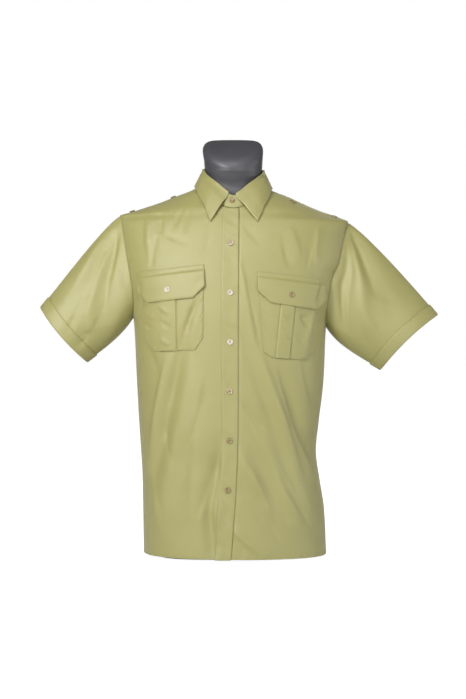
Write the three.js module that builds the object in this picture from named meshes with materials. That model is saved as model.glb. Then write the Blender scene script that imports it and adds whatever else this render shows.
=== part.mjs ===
// A short-sleeved military shirt, buttoned to the neck, on a limbless dress form.
// Millimetres, +Z up. The front faces -Y and the wearer's left is +X.
// The origin is the middle of the form's flat base.
import * as THREE from 'three';

const CLOTH = 1.4;
const STAND_CLOTH = 1.8;
const LEAF_CLOTH = 1.6;
const FLAP_CLOTH = 1.8;
const SEAM_GAP = 0.4;
const LAYER_GAP = 0.8;
const RIGHT = -1;
const LEFT = 1;
const QUARTER = Math.PI / 2;
// Steps round and up the body for measuring its slope.
const SLOPE_STEP = { turn: 0.02, height: 0.8, angle: 0.02 };

// The worn outline, a row for each height. right and left are half widths, front and back are depths,
// and wide and deep are the powers of the section's oval.
const BODY = [
  { z: 0, centre: -5, right: 184, left: 211, front: 150, back: 138, wide: 2.3, deep: 2.2 },
  { z: 100, centre: -4.5, right: 186, left: 206, front: 146, back: 134, wide: 2.3, deep: 2.2 },
  { z: 170, centre: -4, right: 188, left: 195, front: 143, back: 131, wide: 2.3, deep: 2.2 },
  { z: 230, centre: -3, right: 192, left: 186.5, front: 141, back: 129, wide: 2.3, deep: 2.2 },
  { z: 290, centre: -2.5, right: 196.5, left: 192, front: 141, back: 128, wide: 2.3, deep: 2.2 },
  { z: 380, centre: -1.5, right: 202.5, left: 201.5, front: 142, back: 127, wide: 2.3, deep: 2.2 },
  { z: 500, centre: -0.5, right: 209.5, left: 206, front: 142, back: 126, wide: 2.3, deep: 2.2 },
  { z: 560, centre: 0, right: 220, left: 220, front: 139, back: 125, wide: 2.3, deep: 2.2 },
  { z: 600, centre: 0, right: 229, left: 229, front: 134, back: 124, wide: 2.28, deep: 2.15 },
  { z: 636, centre: 1, right: 236, left: 243, front: 127, back: 121, wide: 2.25, deep: 2.1 },
  { z: 671, centre: 1.5, right: 240, left: 247, front: 118, back: 117, wide: 2.2, deep: 2 },
  { z: 700, centre: 2, right: 243, left: 250, front: 109, back: 112, wide: 2.2, deep: 1.8 },
  { z: 720, centre: 2, right: 244, left: 254, front: 101, back: 107, wide: 2.2, deep: 1.6 },
  { z: 735, centre: 3, right: 244.7, left: 222, front: 93.5, back: 101, wide: 2.2, deep: 1.28 },
  { z: 745, centre: 3, right: 214, left: 192, front: 89, back: 98, wide: 2.2, deep: 1.45 },
  { z: 764, centre: 4, right: 157, left: 146, front: 74.5, back: 93, wide: 2.2, deep: 1.7 },
  { z: 777, centre: 4.5, right: 124.5, left: 117.5, front: 65, back: 89, wide: 2.15, deep: 1.8 },
  { z: 792, centre: 5, right: 87, left: 80, front: 57, back: 84, wide: 2.05, deep: 1.9 },
  { z: 800, centre: 5, right: 76, left: 74, front: 55, back: 80.5, wide: 2, deep: 2 },
  { z: 812, centre: 5, right: 67, left: 67, front: 57, back: 73, wide: 2, deep: 2 },
  { z: 830, centre: 5, right: 62.2, left: 62.2, front: 62, back: 66, wide: 2, deep: 2 },
  { z: 850, centre: 4.8, right: 63.3, left: 63.3, front: 62.5, back: 66, wide: 2.3, deep: 2.3 },
  { z: 877, centre: 3.7, right: 65.7, left: 65.7, front: 63.5, back: 67, wide: 2.8, deep: 2.8 },
  { z: 910, centre: 3.2, right: 66.5, left: 66.5, front: 64, back: 68, wide: 3.2, deep: 3.2 },
];

const HEM = { height: 7, tilt: -0.008 };
// The middle of the button line, which leans to the wearer's right near the hem.
const CENTRE_LINE = [
  { z: 0, x: -18 },
  { z: 80, x: -12 },
  { z: 160, x: -6.5 },
  { z: 300, x: -2.5 },
  { z: 560, x: -2 },
  { z: 760, x: 0 },
];
const SHOULDER_FLOOR = 700;
const OVERHEAD = { low: 690, high: 830, halvings: 40 };

// The neckline is an oval seen from above, dropped on the shoulders.
const NECK = { centre: 5, half: 75, front: 88, back: 78, seamAngle: 70 };

// Armholes: the height of the shoulder tip and of the underarm, how far each reaches to the front and
// the back, and how much of that reach leans to the lower half.
const ARMHOLE = {
  [RIGHT]: { tip: 734.7, pit: 515, front: 49, frontLean: 0.45, back: 72, backLean: 0.12 },
  [LEFT]: { tip: 719.5, pit: 495, front: 50, frontLean: 0.36, back: 72, backLean: 0.12 },
};
const YOKE = { frontAngle: 36, backAngle: 35, backHeight: 705 };

// Edge stations that neighbouring pieces share.
const COLUMNS = { neck: 5, shoulder: 7, back: 18 };
const ROWS = { side: 12, armhole: 12, backArmhole: 11, yokeFront: 2, yokeBack: 3, sleeve: 8, cuff: 2 };
const CENTRE_SPLIT = 493;

// Sleeves: the cuff's upper and lower corners, its half depth, and the slope of the cloth in degrees
// below level where it leaves the armhole and where it meets the cuff. bow is how far the cuff's middle
// runs past the line between its corners.
const SLEEVE = {
  rootGap: 0.5,
  rootSlope: 46,
  rootSpread: 14,
  rootPull: 0.245,
  rootPullSpread: 0.085,
  cuffPull: 0.33,
  forward: 0.1,
  foldsFrom: 0.15,
  cuffDepth: 45,
  cuffPower: 1.5,
  band: 26,
};
const CUFF = {
  [RIGHT]: { topX: -412, topZ: 537, footX: -311.7, footZ: 420.2, slope: 44, spread: 7, bow: 4 },
  [LEFT]: { topX: 446, topZ: 521.8, footX: 322.8, footZ: 403.3, slope: 41, spread: 9, bow: -9 },
};

// The placket laid over both front edges, and the fronts' edges under it.
const PLACKET = { half: 17, top: 745.6, gap: 0.4 };
const FRONT_EDGE = { [RIGHT]: 14.2, [LEFT]: 15 };

const COLLAR = {
  lift: 0.4,
  standFront: 25,
  standBack: 38,
  crest: 10.5,
  crestAt: 30,
  crestSpread: 22,
  half: 64.7,
  front: 76,
  back: 71.5,
  overEnd: -14,
  overFrom: 22,
  overTo: 10,
  overOut: 2.5,
  overStations: 3,
  leafRight: -5,
  leafLeft: 10,
  leafStations: 40,
  fallRows: 3,
  bulge: 3.5,
  rest: 4.2,
  overShare: 0.12,
  bulgeFade: [0.15, 0.45],
  crowding: 1.15,
};
// The leaf's roll over the stand, from the stand's top outwards.
const ROLL = [
  { out: -0.9, up: 1.3 },
  { out: -0.5, up: 3 },
  { out: 0.9, up: 4 },
  { out: 2.3, up: 3 },
  { out: 2.8, up: 0.6 },
];
// The leaf's outer edge from above, by the share of the way from the front end to the centre back: its
// heading in degrees from the front and its reach from the neck's middle, for each side.
const LEAF_EDGE = [
  { share: 0, rightHeading: 25.6, rightReach: 112.4, leftHeading: 26.8, leftReach: 113 },
  { share: 0.22, rightHeading: 43, rightReach: 98.4, leftHeading: 45, leftReach: 99.5 },
  { share: 0.48, rightHeading: 86, rightReach: 82.5, leftHeading: 87, leftReach: 82.5 },
  { share: 0.74, rightHeading: 134, rightReach: 84, leftHeading: 134, leftReach: 84 },
  { share: 1, rightHeading: 180, rightReach: 82.5, leftHeading: 180, leftReach: 82.5 },
];

// Pockets: the flap's and the bag's corners as x and z seen from the front, the pleat's edges and the button.
const POCKETS = {
  [RIGHT]: {
    flap: {
      top: [[-57.5, 624], [-195.6, 609]],
      foot: [[-55, 578.5], [-79, 554.7], [-171.3, 545.8], [-195.5, 567]],
    },
    bag: {
      top: [[-58, 604], [-193, 589]],
      foot: [[-59, 470.5], [-75.5, 445], [-162, 442.5], [-178, 460]],
    },
    pleat: { top: [-116, -144.3], foot: [-114, -150] },
    button: [-131.8, 572],
  },
  [LEFT]: {
    flap: {
      top: [[56.2, 609.4], [197.7, 594.2]],
      foot: [[56.3, 569.3], [82.4, 544.2], [177, 531.4], [196.4, 549.5]],
    },
    bag: {
      top: [[58, 589], [194, 574]],
      foot: [[68.7, 440], [86, 429.3], [154, 424], [176, 443]],
    },
    pleat: { top: [108.8, 138], foot: [92.6, 122] },
    button: [125.9, 561],
  },
};
const POCKET = {
  gap: 0.9,
  pleatRise: 0.8,
  pleatStep: 0.8,
  widest: 17,
  bagRows: 8,
  flapRows: [0, 8, 15, 24, 35],
  flapRamp: [8, 15],
  bagCorner: 0.13,
  flapCorner: 0.17,
};

const BUTTON = { radius: 6.3, gap: 0.3, sides: 14 };
// A button's half section: a raised rim round a shallow well.
const BUTTON_SECTION = [
  { out: 0, up: 0 },
  { out: 5.4, up: 0 },
  { out: BUTTON.radius, up: 0.6 },
  { out: BUTTON.radius, up: 1.7 },
  { out: 5.6, up: 2.4 },
  { out: 4.6, up: 2.3 },
  { out: 3.8, up: 1.6 },
  { out: 0, up: 1.4 },
];
const PLACKET_BUTTONS = { first: 668.7, pitch: 103.4, count: 6, pearly: 3 };
const COLLAR_BUTTON = { x: 1.5, rise: 0.58 };
const SHOULDER_BUTTONS = [
  { name: 'right_inner', x: -125.4, y: 0, out: 0 },
  { name: 'right_outer', x: -214, y: 0, out: 0 },
  { name: 'left_inner', x: 132, y: -36, out: -0.4 },
  { name: 'left_outer', x: 223, y: -18, out: 0 },
];

// A fold fades to its ends by this power, and all folds fade out between these shares of the way round
// from the side seams.
const FOLD = { fade: 0.8, sideFade: [0.05, 0.45] };
// Large folds seen from the front: each runs from one point to another in x and z. back ones are seen
// through the shirt. A negative depth is a trough.
const FOLDS = [
  { face: 'front', from: [-92, 490], to: [-176, 120], width: 20, depth: -5.5 },
  { face: 'front', from: [-128, 440], to: [-178, 170], width: 14, depth: 3.5 },
  { face: 'front', from: [-76, 425], to: [-160, 60], width: 20, depth: 5 },
  { face: 'front', from: [-100, 280], to: [-124, 40], width: 24, depth: -4 },
  { face: 'front', from: [20, 560], to: [178, 60], width: 13, depth: 4 },
  { face: 'front', from: [14, 500], to: [158, 90], width: 12, depth: -4.5 },
  { face: 'front', from: [22, 322], to: [185, 35], width: 14, depth: 4.5 },
  { face: 'front', from: [19, 291], to: [125, 75], width: 13, depth: -5 },
  { face: 'front', from: [20, 181], to: [95, 40], width: 18, depth: -4.5 },
  { face: 'front', from: [112, 400], to: [176, 200], width: 14, depth: -5 },
  { face: 'back', from: [-70, 560], to: [-140, 250], width: 26, depth: -5 },
  { face: 'back', from: [60, 560], to: [120, 200], width: 26, depth: -5 },
  { face: 'back', from: [-10, 600], to: [10, 220], width: 30, depth: 4 },
  { face: 'back', from: [150, 420], to: [110, 120], width: 22, depth: 4 },
  { face: 'back', from: [-150, 420], to: [-80, 120], width: 24, depth: 4 },
];
// Large folds of the sleeves: angles round the armhole from the shoulder tip, front positive, and the
// share of the way to the cuff.
const SLEEVE_FOLDS = {
  [RIGHT]: [
    { from: [36, 0.06], to: [118, 0.65], width: 14, depth: -6.5 },
    { from: [52, 0.25], to: [112, 0.8], width: 12, depth: 4 },
    { from: [112, 0.08], to: [140, 0.5], width: 14, depth: 3 },
    { from: [-50, 0.1], to: [-75, 0.9], width: 18, depth: -6 },
    { from: [-105, 0.1], to: [-115, 0.8], width: 18, depth: -4 },
  ],
  [LEFT]: [
    { from: [40, 0], to: [138, 0.34], width: 12, depth: -6.5 },
    { from: [33, 0.07], to: [126, 0.7], width: 10, depth: 4 },
    { from: [21, 0.04], to: [80, 0.55], width: 13, depth: -6.5 },
    { from: [-50, 0.1], to: [-75, 0.9], width: 18, depth: -6 },
    { from: [-105, 0.1], to: [-115, 0.8], width: 18, depth: -4 },
  ],
};

// The dress form's gap under the cloth, and its neck above the collar.
const FORM_GAP = [
  { z: 0, front: 62, side: 34, back: 40 },
  { z: 150, front: 36, side: 22, back: 26 },
  { z: 300, front: 42, side: 40, back: 40 },
  { z: 450, front: 25, side: 25, back: 20 },
  { z: 560, front: 13, side: 18, back: 15 },
  { z: 680, front: 12, side: 24, back: 12 },
  { z: 715, front: 9, side: 24, back: 9 },
  { z: 735, front: 7, side: 14, back: 7 },
  { z: 748, front: 6.5, side: 3.2, back: 6 },
  { z: 764, front: 6.5, side: 2.4, back: 5.5 },
  { z: 790, front: 6, side: 2.6, back: 5 },
  { z: 812, front: 2, side: 3, back: 3 },
  { z: 830, front: 0, side: 0, back: 0 },
];
const FORM = {
  sides: 36,
  capFront: 834,
  capBack: 893,
  capArch: 12,
  neckRings: [0.3],
  rims: [[0, 0], [1.5, 6], [5, 11], [11, 14], [30, 15]],
};
const FORM_HEIGHTS = [
  0, 60, 120, 180, 240, 300, 360, 420, 480, 530, 570, 605, 636, 662, 684, 703, 717, 727, 735, 742, 750,
  758, 766, 774, 782, 790, 798, 806, 816, 826,
];

const COLOURS = { cloth: 0xbdb984, form: 0x4b4b50, pearl: 0xcdbfae, horn: 0x8a6a4c };

const radians = THREE.MathUtils.degToRad;
const lerp = THREE.MathUtils.lerp;
const steps = (count) => Array.from({ length: count + 1 }, (_, i) => i / count);
const power = (value, exponent) => Math.sign(value) * Math.abs(value) ** exponent;
const smooth = (value, low, high) => THREE.MathUtils.smoothstep(value, low, high);

// A smooth curve through one column of a table, which never overshoots its rows.
function curveOf(rows, key, column) {
  const at = rows.map((row) => row[key]);
  const value = rows.map((row) => row[column]);
  const last = at.length - 1;
  const slope = at.slice(1).map((end, i) => (value[i + 1] - value[i]) / (end - at[i]));
  const tangent = at.map((_, i) => {
    if (i === 0) return slope[0];
    if (i === last) return slope[last - 1];
    const product = slope[i - 1] * slope[i];
    return product > 0 ? (2 * product) / (slope[i - 1] + slope[i]) : 0;
  });
  return (where) => {
    if (where <= at[0]) return value[0];
    if (where >= at[last]) return value[last];
    const i = at.findIndex((end) => end > where) - 1;
    const span = at[i + 1] - at[i];
    const t = (where - at[i]) / span;
    const bend = t * t * (3 - 2 * t);
    const lead = t * (1 - t) * (1 - t) * tangent[i];
    const trail = t * t * (t - 1) * tangent[i + 1];
    return lerp(value[i], value[i + 1], bend) + span * (lead + trail);
  };
}

function curvesOf(rows, key) {
  const columns = Object.keys(rows[0]).filter((column) => column !== key);
  const curves = columns.map((column) => [column, curveOf(rows, key, column)]);
  return (where) => Object.fromEntries(curves.map(([column, curve]) => [column, curve(where)]));
}

const section = curvesOf(BODY, 'z');
const formGap = curvesOf(FORM_GAP, 'z');
const leafEdge = curvesOf(LEAF_EDGE, 'share');
const centreLine = curveOf(CENTRE_LINE, 'z', 'x');

// A place on the body is a turn, 0 at the centre front and a quarter at the wearer's left, and a height.
function bare(turn, z) {
  const at = section(z);
  const across = Math.sin(turn);
  const ahead = Math.cos(turn);
  const half = across < 0 ? at.right : at.left;
  const depth = ahead > 0 ? at.front : at.back;
  const x = at.centre + half * power(across, 2 / at.wide);
  const y = -depth * power(ahead, 2 / at.deep);
  return new THREE.Vector3(x, y, z);
}

function skinNormal(turn, z) {
  const round = bare(turn + SLOPE_STEP.turn, z).sub(bare(turn - SLOPE_STEP.turn, z));
  const up = bare(turn, z + SLOPE_STEP.height).sub(bare(turn, z - SLOPE_STEP.height));
  return round.cross(up).normalize();
}

// How far a ridge or trough lifts a point at x and y of its own plane.
function foldLift(fold, x, y, scaleX, scaleY) {
  const start = new THREE.Vector2(fold.from[0] * scaleX, fold.from[1] * scaleY);
  const run = new THREE.Vector2(fold.to[0] * scaleX, fold.to[1] * scaleY).sub(start);
  const offset = new THREE.Vector2(x * scaleX, y * scaleY).sub(start);
  const share = offset.dot(run) / run.lengthSq();
  if (share <= 0 || share >= 1) return 0;
  const away = Math.abs(offset.cross(run)) / run.length();
  return fold.depth * Math.exp(-((away / fold.width) ** 2)) * Math.sin(Math.PI * share) ** FOLD.fade;
}

function drape(turn, z) {
  const face = Math.cos(turn) > 0 ? 'front' : 'back';
  const fade = smooth(Math.abs(Math.cos(turn)), ...FOLD.sideFade);
  if (fade === 0) return 0;
  const { x } = bare(turn, z);
  const lifts = FOLDS.filter((fold) => fold.face === face).map((fold) => foldLift(fold, x, z, 1, 1));
  return fade * lifts.reduce((sum, lift) => sum + lift, 0);
}

function skin(place, out = 0) {
  const normal = skinNormal(place.turn, place.z);
  return bare(place.turn, place.z).addScaledVector(normal, drape(place.turn, place.z) + out);
}

// The place on one face at a given x and height.
function placeAt(x, z, face = 'front') {
  const at = section(z);
  const half = x < at.centre ? at.right : at.left;
  const share = Math.min(1, Math.abs(x - at.centre) / half);
  const turn = Math.asin(share ** (at.wide / 2));
  return { turn: Math.sign(x - at.centre) * (face === 'front' ? turn : Math.PI - turn), z };
}

// The place on the shoulders right under a point seen from above.
function overhead(x, y) {
  const sums = (z) => {
    const at = section(z);
    const half = x < at.centre ? at.right : at.left;
    const depth = y < 0 ? at.front : at.back;
    return [(Math.abs(x - at.centre) / half) ** at.wide, (Math.abs(y) / depth) ** at.deep];
  };
  let { low, high } = OVERHEAD;
  for (let i = 0; i < OVERHEAD.halvings; i += 1) {
    const middle = (low + high) / 2;
    const [across, ahead] = sums(middle);
    if (across + ahead < 1) low = middle;
    else high = middle;
  }
  const z = (low + high) / 2;
  const [across, ahead] = sums(z);
  const side = Math.sign(x - section(z).centre) || 1;
  return { turn: side * Math.atan2(Math.sqrt(across), -Math.sign(y) * Math.sqrt(ahead)), z };
}

const hemAt = (x) => HEM.height + HEM.tilt * x;

function neckline(angle) {
  const depth = Math.cos(angle) > 0 ? NECK.front : NECK.back;
  return overhead(NECK.centre + NECK.half * Math.sin(angle), -depth * Math.cos(angle));
}

// The armhole, by the angle from the shoulder tip to the underarm, front positive.
function armhole(side, angle) {
  const hole = ARMHOLE[side];
  const z = (hole.tip + hole.pit) / 2 + ((hole.tip - hole.pit) / 2) * Math.cos(angle);
  const [reach, lean] = angle > 0 ? [hole.front, hole.frontLean] : [hole.back, hole.backLean];
  const y = reach * Math.abs(Math.sin(angle)) * (1 - lean * Math.cos(angle));
  const at = section(z);
  const ahead = (y / (angle > 0 ? at.front : at.back)) ** (at.deep / 2);
  return { turn: side * Math.acos(angle > 0 ? ahead : -ahead), z };
}

// The stations of the armhole, from the shoulder tip round the front, the underarm and the back.
const ARMHOLE_ANGLES = {
  yokeFront: steps(ROWS.yokeFront).map((share) => radians(YOKE.frontAngle) * share),
  front: steps(ROWS.armhole).map((share) => lerp(radians(YOKE.frontAngle), Math.PI, share)),
  back: steps(ROWS.backArmhole).map((share) => -lerp(Math.PI, radians(YOKE.backAngle), share)),
  yokeBack: steps(ROWS.yokeBack).map((share) => -radians(YOKE.backAngle) * (1 - share)),
};

// The panels are laid out on a sheet whose width is a reach angle, even where the shoulders slope away.
function toSheet(place) {
  const { x } = bare(place.turn, place.z);
  const at = section(Math.min(place.z, SHOULDER_FLOOR));
  const { centre } = section(place.z);
  const half = x < centre ? at.right : at.left;
  const reach = Math.asin(THREE.MathUtils.clamp((x - centre) / half, -1, 1));
  return new THREE.Vector2(reach, place.z);
}

function fromSheet(point, face) {
  const at = section(Math.min(point.y, SHOULDER_FLOOR));
  const { centre } = section(point.y);
  const half = point.x < 0 ? at.right : at.left;
  return placeAt(centre + half * Math.sin(point.x), point.y, face);
}

// A grid of rows between four edges, each a list of points that start at the shared lower left corner.
function between(bottom, top, left, right) {
  return left.map((leftPoint, row) => bottom.map((bottomPoint, column) => {
    const v = row / (left.length - 1);
    const u = column / (bottom.length - 1);
    const across = leftPoint.clone().lerp(right[row], u);
    const upward = bottomPoint.clone().lerp(top[column], v);
    const foot = bottom[0].clone().lerp(bottom[bottom.length - 1], u);
    const head = top[0].clone().lerp(top[top.length - 1], u);
    return across.add(upward).sub(foot.lerp(head, v));
  }));
}

// A closed solid between two grids of points. wrap joins the last column to the first.
function wall(outer, inner, wrap = false) {
  const rows = outer.length;
  const columns = outer[0].length;
  const points = [...outer.flat(), ...inner.flat()];
  const at = (layer, row, column) => layer * rows * columns + row * columns + (column % columns);
  const triangles = [];
  const quad = (a, b, c, d) => triangles.push([a, b, c], [a, c, d]);
  const spans = wrap ? columns : columns - 1;
  for (let row = 0; row < rows - 1; row += 1) {
    for (let column = 0; column < spans; column += 1) {
      const corners = [[row, column], [row, column + 1], [row + 1, column + 1], [row + 1, column]];
      const [a, b, c, d] = corners.map((corner) => at(0, ...corner));
      const [e, f, g, h] = corners.map((corner) => at(1, ...corner));
      quad(a, b, c, d);
      triangles.push([e, g, f], [e, h, g]);
    }
  }
  const rim = (from, to) => quad(at(0, ...to), at(0, ...from), at(1, ...from), at(1, ...to));
  for (let column = 0; column < spans; column += 1) {
    rim([0, column], [0, column + 1]);
    rim([rows - 1, column + 1], [rows - 1, column]);
  }
  for (let row = 0; row < rows - 1 && !wrap; row += 1) {
    rim([row + 1, 0], [row, 0]);
    rim([row, columns - 1], [row + 1, columns - 1]);
  }
  return solid(points, triangles);
}

// A geometry from points and triangles, turned so that its faces point out.
function solid(points, triangles) {
  const volume = triangles.reduce((sum, [a, b, c]) => (
    sum + points[a].dot(points[b].clone().cross(points[c]))
  ), 0);
  const order = volume < 0 ? triangles.map(([a, b, c]) => [a, c, b]) : triangles;
  const geometry = new THREE.BufferGeometry();
  geometry.setAttribute('position', new THREE.Float32BufferAttribute(
    points.flatMap((point) => [point.x, point.y, point.z]), 3,
  ));
  geometry.setIndex(order.flat());
  geometry.computeVertexNormals();
  return geometry;
}

// How far a point of a grid's edge moves in, so that seams keep their gap.
function seamShift(points, normals, row, column) {
  const lastRow = points.length - 1;
  const lastColumn = points[0].length - 1;
  const shift = new THREE.Vector3();
  const move = (before, after, inside) => {
    const along = after.clone().sub(before);
    const inward = normals[row][column].clone().cross(along).normalize();
    const side = Math.sign(inward.dot(inside.clone().sub(points[row][column])));
    shift.addScaledVector(inward, side * SEAM_GAP / 2);
  };
  const rowAt = (index) => points[row][THREE.MathUtils.clamp(index, 0, lastColumn)];
  const columnAt = (index) => points[THREE.MathUtils.clamp(index, 0, lastRow)][column];
  if (row === 0) move(rowAt(column - 1), rowAt(column + 1), columnAt(1));
  if (row === lastRow) move(rowAt(column - 1), rowAt(column + 1), columnAt(lastRow - 1));
  if (column === 0) move(columnAt(row - 1), columnAt(row + 1), rowAt(1));
  if (column === lastColumn) move(columnAt(row - 1), columnAt(row + 1), rowAt(lastColumn - 1));
  return shift;
}

// A cloth panel over a grid of places, one wall thick.
function panel(places) {
  const points = places.map((row) => row.map((place) => skin(place)));
  const normals = places.map((row) => row.map((place) => skinNormal(place.turn, place.z)));
  const shifts = points.map((row, j) => row.map((_, i) => seamShift(points, normals, j, i)));
  const layer = (out) => places.map((row, j) => row.map((place, i) => skin(place, out).add(shifts[j][i])));
  return wall(layer(0), layer(-CLOTH));
}

// Where the yoke meets a front, straight from above, from the neckline to the armhole.
function shoulderSeam(side) {
  const neck = neckline(side * radians(NECK.seamAngle));
  const arm = armhole(side, radians(YOKE.frontAngle));
  const [start, end] = [neck, arm].map((place) => bare(place.turn, place.z));
  return steps(COLUMNS.shoulder).map((share) => {
    if (share === 0) return neck;
    if (share === 1) return arm;
    return overhead(lerp(start.x, end.x, share), lerp(start.y, end.y, share));
  });
}

function sideSeam(side) {
  const foot = hemAt(bare(side * QUARTER, 0).x);
  return steps(ROWS.side).map((share) => ({
    turn: side * QUARTER,
    z: lerp(foot, ARMHOLE[side].pit, share),
  }));
}

function frontNeckAngles(side) {
  const start = Math.asin((centreLine(PLACKET.top) + FRONT_EDGE[side] - NECK.centre) / NECK.half);
  return steps(COLUMNS.neck).map((share) => lerp(start, side * radians(NECK.seamAngle), share));
}

function centreHeights(side) {
  const top = neckline(frontNeckAngles(side)[0]).z;
  const foot = hemAt(centreLine(0) + FRONT_EDGE[side]);
  const lower = steps(ROWS.side).map((share) => lerp(foot, CENTRE_SPLIT, share));
  const upper = steps(ROWS.armhole).map((share) => lerp(CENTRE_SPLIT, top, share));
  return [...lower, ...upper.slice(1)];
}

function frontPlaces(side) {
  const edge = centreHeights(side).map((z) => placeAt(centreLine(z) + FRONT_EDGE[side], z));
  const arm = [...ARMHOLE_ANGLES.front].reverse().map((angle) => armhole(side, angle));
  const outer = [...sideSeam(side), ...arm.slice(1)];
  const neck = frontNeckAngles(side).map(neckline);
  const top = [...neck, ...shoulderSeam(side).slice(1)];
  const [first, last] = [toSheet(edge[0]).x, side * QUARTER];
  const bottom = steps(top.length - 1).map((share) => {
    const place = fromSheet(new THREE.Vector2(lerp(first, last, share), HEM.height), 'front');
    return { turn: place.turn, z: hemAt(bare(place.turn, 0).x) };
  });
  const [low, high, left, right] = [bottom, top, edge, outer].map((list) => list.map(toSheet));
  const grid = between(low, high, left, right).map((row) => row.map((point) => fromSheet(point, 'front')));
  grid[0] = bottom;
  grid[grid.length - 1] = top;
  grid.forEach((row, j) => {
    row[0] = edge[j];
    row[row.length - 1] = outer[j];
  });
  return grid;
}

// The seam between the back and the yoke, from the wearer's left to the right.
function yokeSeam() {
  const ends = [LEFT, RIGHT].map((side) => armhole(side, -radians(YOKE.backAngle)));
  const [left, right] = ends.map(toSheet);
  return steps(COLUMNS.back).map((share) => {
    if (share === 0) return ends[0];
    if (share === 1) return ends[1];
    const middle = Math.sin(Math.PI * share);
    const height = lerp(lerp(left.y, right.y, share), YOKE.backHeight, middle);
    return fromSheet(new THREE.Vector2(lerp(left.x, right.x, share), height), 'back');
  });
}

function backPlaces() {
  const [left, right] = [LEFT, RIGHT].map((side) => {
    const arm = ARMHOLE_ANGLES.back.map((angle) => armhole(side, angle));
    return [...sideSeam(side), ...arm.slice(1)];
  });
  const top = yokeSeam();
  const bottom = steps(COLUMNS.back).map((share) => {
    const turn = QUARTER + Math.PI * share;
    return { turn, z: hemAt(bare(turn, 0).x) };
  });
  const [low, high, one, two] = [bottom, top, left, right].map((list) => list.map(toSheet));
  const grid = between(low, high, one, two).map((row) => row.map((point) => fromSheet(point, 'back')));
  grid[0] = bottom;
  grid[grid.length - 1] = top;
  grid.forEach((row, j) => {
    row[0] = left[j];
    row[row.length - 1] = right[j];
  });
  return grid;
}

function yokeNeckAngles() {
  const count = COLUMNS.back + 2 * (ROWS.yokeFront + ROWS.yokeBack);
  const start = radians(NECK.seamAngle);
  return steps(count).map((share) => lerp(start, 2 * Math.PI - start, share));
}

function yokePlaces() {
  const neck = yokeNeckAngles().map(neckline);
  const [left, right] = [LEFT, RIGHT].map((side) => {
    const front = [...ARMHOLE_ANGLES.yokeFront].reverse();
    const back = [...ARMHOLE_ANGLES.yokeBack].reverse();
    return [...front, ...back.slice(1)].map((angle) => armhole(side, angle));
  });
  const outer = [...left, ...yokeSeam().slice(1, -1), ...right.reverse()];
  const ends = [shoulderSeam(LEFT), shoulderSeam(RIGHT)];
  const above = (place) => bare(place.turn, place.z);
  const [low, high, one, two] = [neck, outer, ...ends].map((list) => list.map(above));
  const grid = between(low, high, one, two).map((row) => row.map((point) => overhead(point.x, point.y)));
  grid[0] = neck;
  grid[grid.length - 1] = outer;
  grid.forEach((row, j) => {
    row[0] = ends[0][j];
    row[row.length - 1] = ends[1][j];
  });
  return grid;
}

function sleeveAngles() {
  const { yokeFront, front, back, yokeBack } = ARMHOLE_ANGLES;
  return [...yokeFront, ...front.slice(1), ...back.slice(1), ...yokeBack.slice(1, -1)];
}

// Where a line of the sleeve leaves the armhole, clear of the panels round it.
function sleeveRoot(side, angle) {
  const hole = ARMHOLE[side];
  const place = armhole(side, angle);
  const point = skin(place);
  const wrapped = (value) => THREE.MathUtils.euclideanModulo(value + Math.PI, 2 * Math.PI) - Math.PI;
  const near = (step) => skin(armhole(side, wrapped(angle + step)));
  const along = near(SLOPE_STEP.angle).sub(near(-SLOPE_STEP.angle));
  const normal = skinNormal(place.turn, place.z);
  const middle = new THREE.Vector3(point.x, 0, (hole.tip + hole.pit) / 2);
  const inward = normal.clone().cross(along).normalize();
  const sign = Math.sign(inward.dot(middle.sub(point))) || 1;
  return { point: point.addScaledVector(inward, sign * SLEEVE.rootGap), normal };
}

function sleeveDirection(side, slope, forward) {
  return new THREE.Vector3(side * Math.cos(slope), forward, -Math.sin(slope)).normalize();
}

// One line of the sleeve, from the armhole to the cuff.
function sleeveLine(side, angle) {
  const cuff = CUFF[side];
  const height = Math.cos(angle);
  const root = sleeveRoot(side, angle);
  const depth = -Math.sign(angle) * SLEEVE.cuffDepth * Math.abs(Math.sin(angle)) ** SLEEVE.cuffPower;
  const share = (1 + height) / 2;
  const [endX, endZ] = [lerp(cuff.footX, cuff.topX, share), lerp(cuff.footZ, cuff.topZ, share)];
  const end = new THREE.Vector3(endX, depth, endZ);
  const bow = sleeveDirection(side, radians(cuff.slope), 0).multiplyScalar(cuff.bow);
  end.addScaledVector(bow, Math.sin(angle) ** 2);
  const length = end.distanceTo(root.point);
  const rootSlope = radians(SLEEVE.rootSlope - SLEEVE.rootSpread * height);
  const cuffSlope = radians(cuff.slope + cuff.spread * height);
  const leave = sleeveDirection(side, rootSlope, -SLEEVE.forward * Math.sin(angle));
  const arrive = sleeveDirection(side, cuffSlope, 0);
  const rootPull = SLEEVE.rootPull - SLEEVE.rootPullSpread * height;
  const curve = new THREE.CubicBezierCurve3(
    root.point,
    root.point.clone().addScaledVector(leave, length * rootPull),
    end.clone().addScaledVector(arrive, -length * SLEEVE.cuffPull),
    end,
  );
  return { curve, root, bandShare: 1 - SLEEVE.band / length };
}

function sleeveLift(side, angle, share) {
  const degrees = THREE.MathUtils.radToDeg(angle);
  const fade = smooth(share, 0, SLEEVE.foldsFrom);
  const lifts = SLEEVE_FOLDS[side].map((fold) => foldLift(fold, degrees, share, 1, 100));
  return fade * lifts.reduce((sum, lift) => sum + lift, 0);
}

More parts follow.
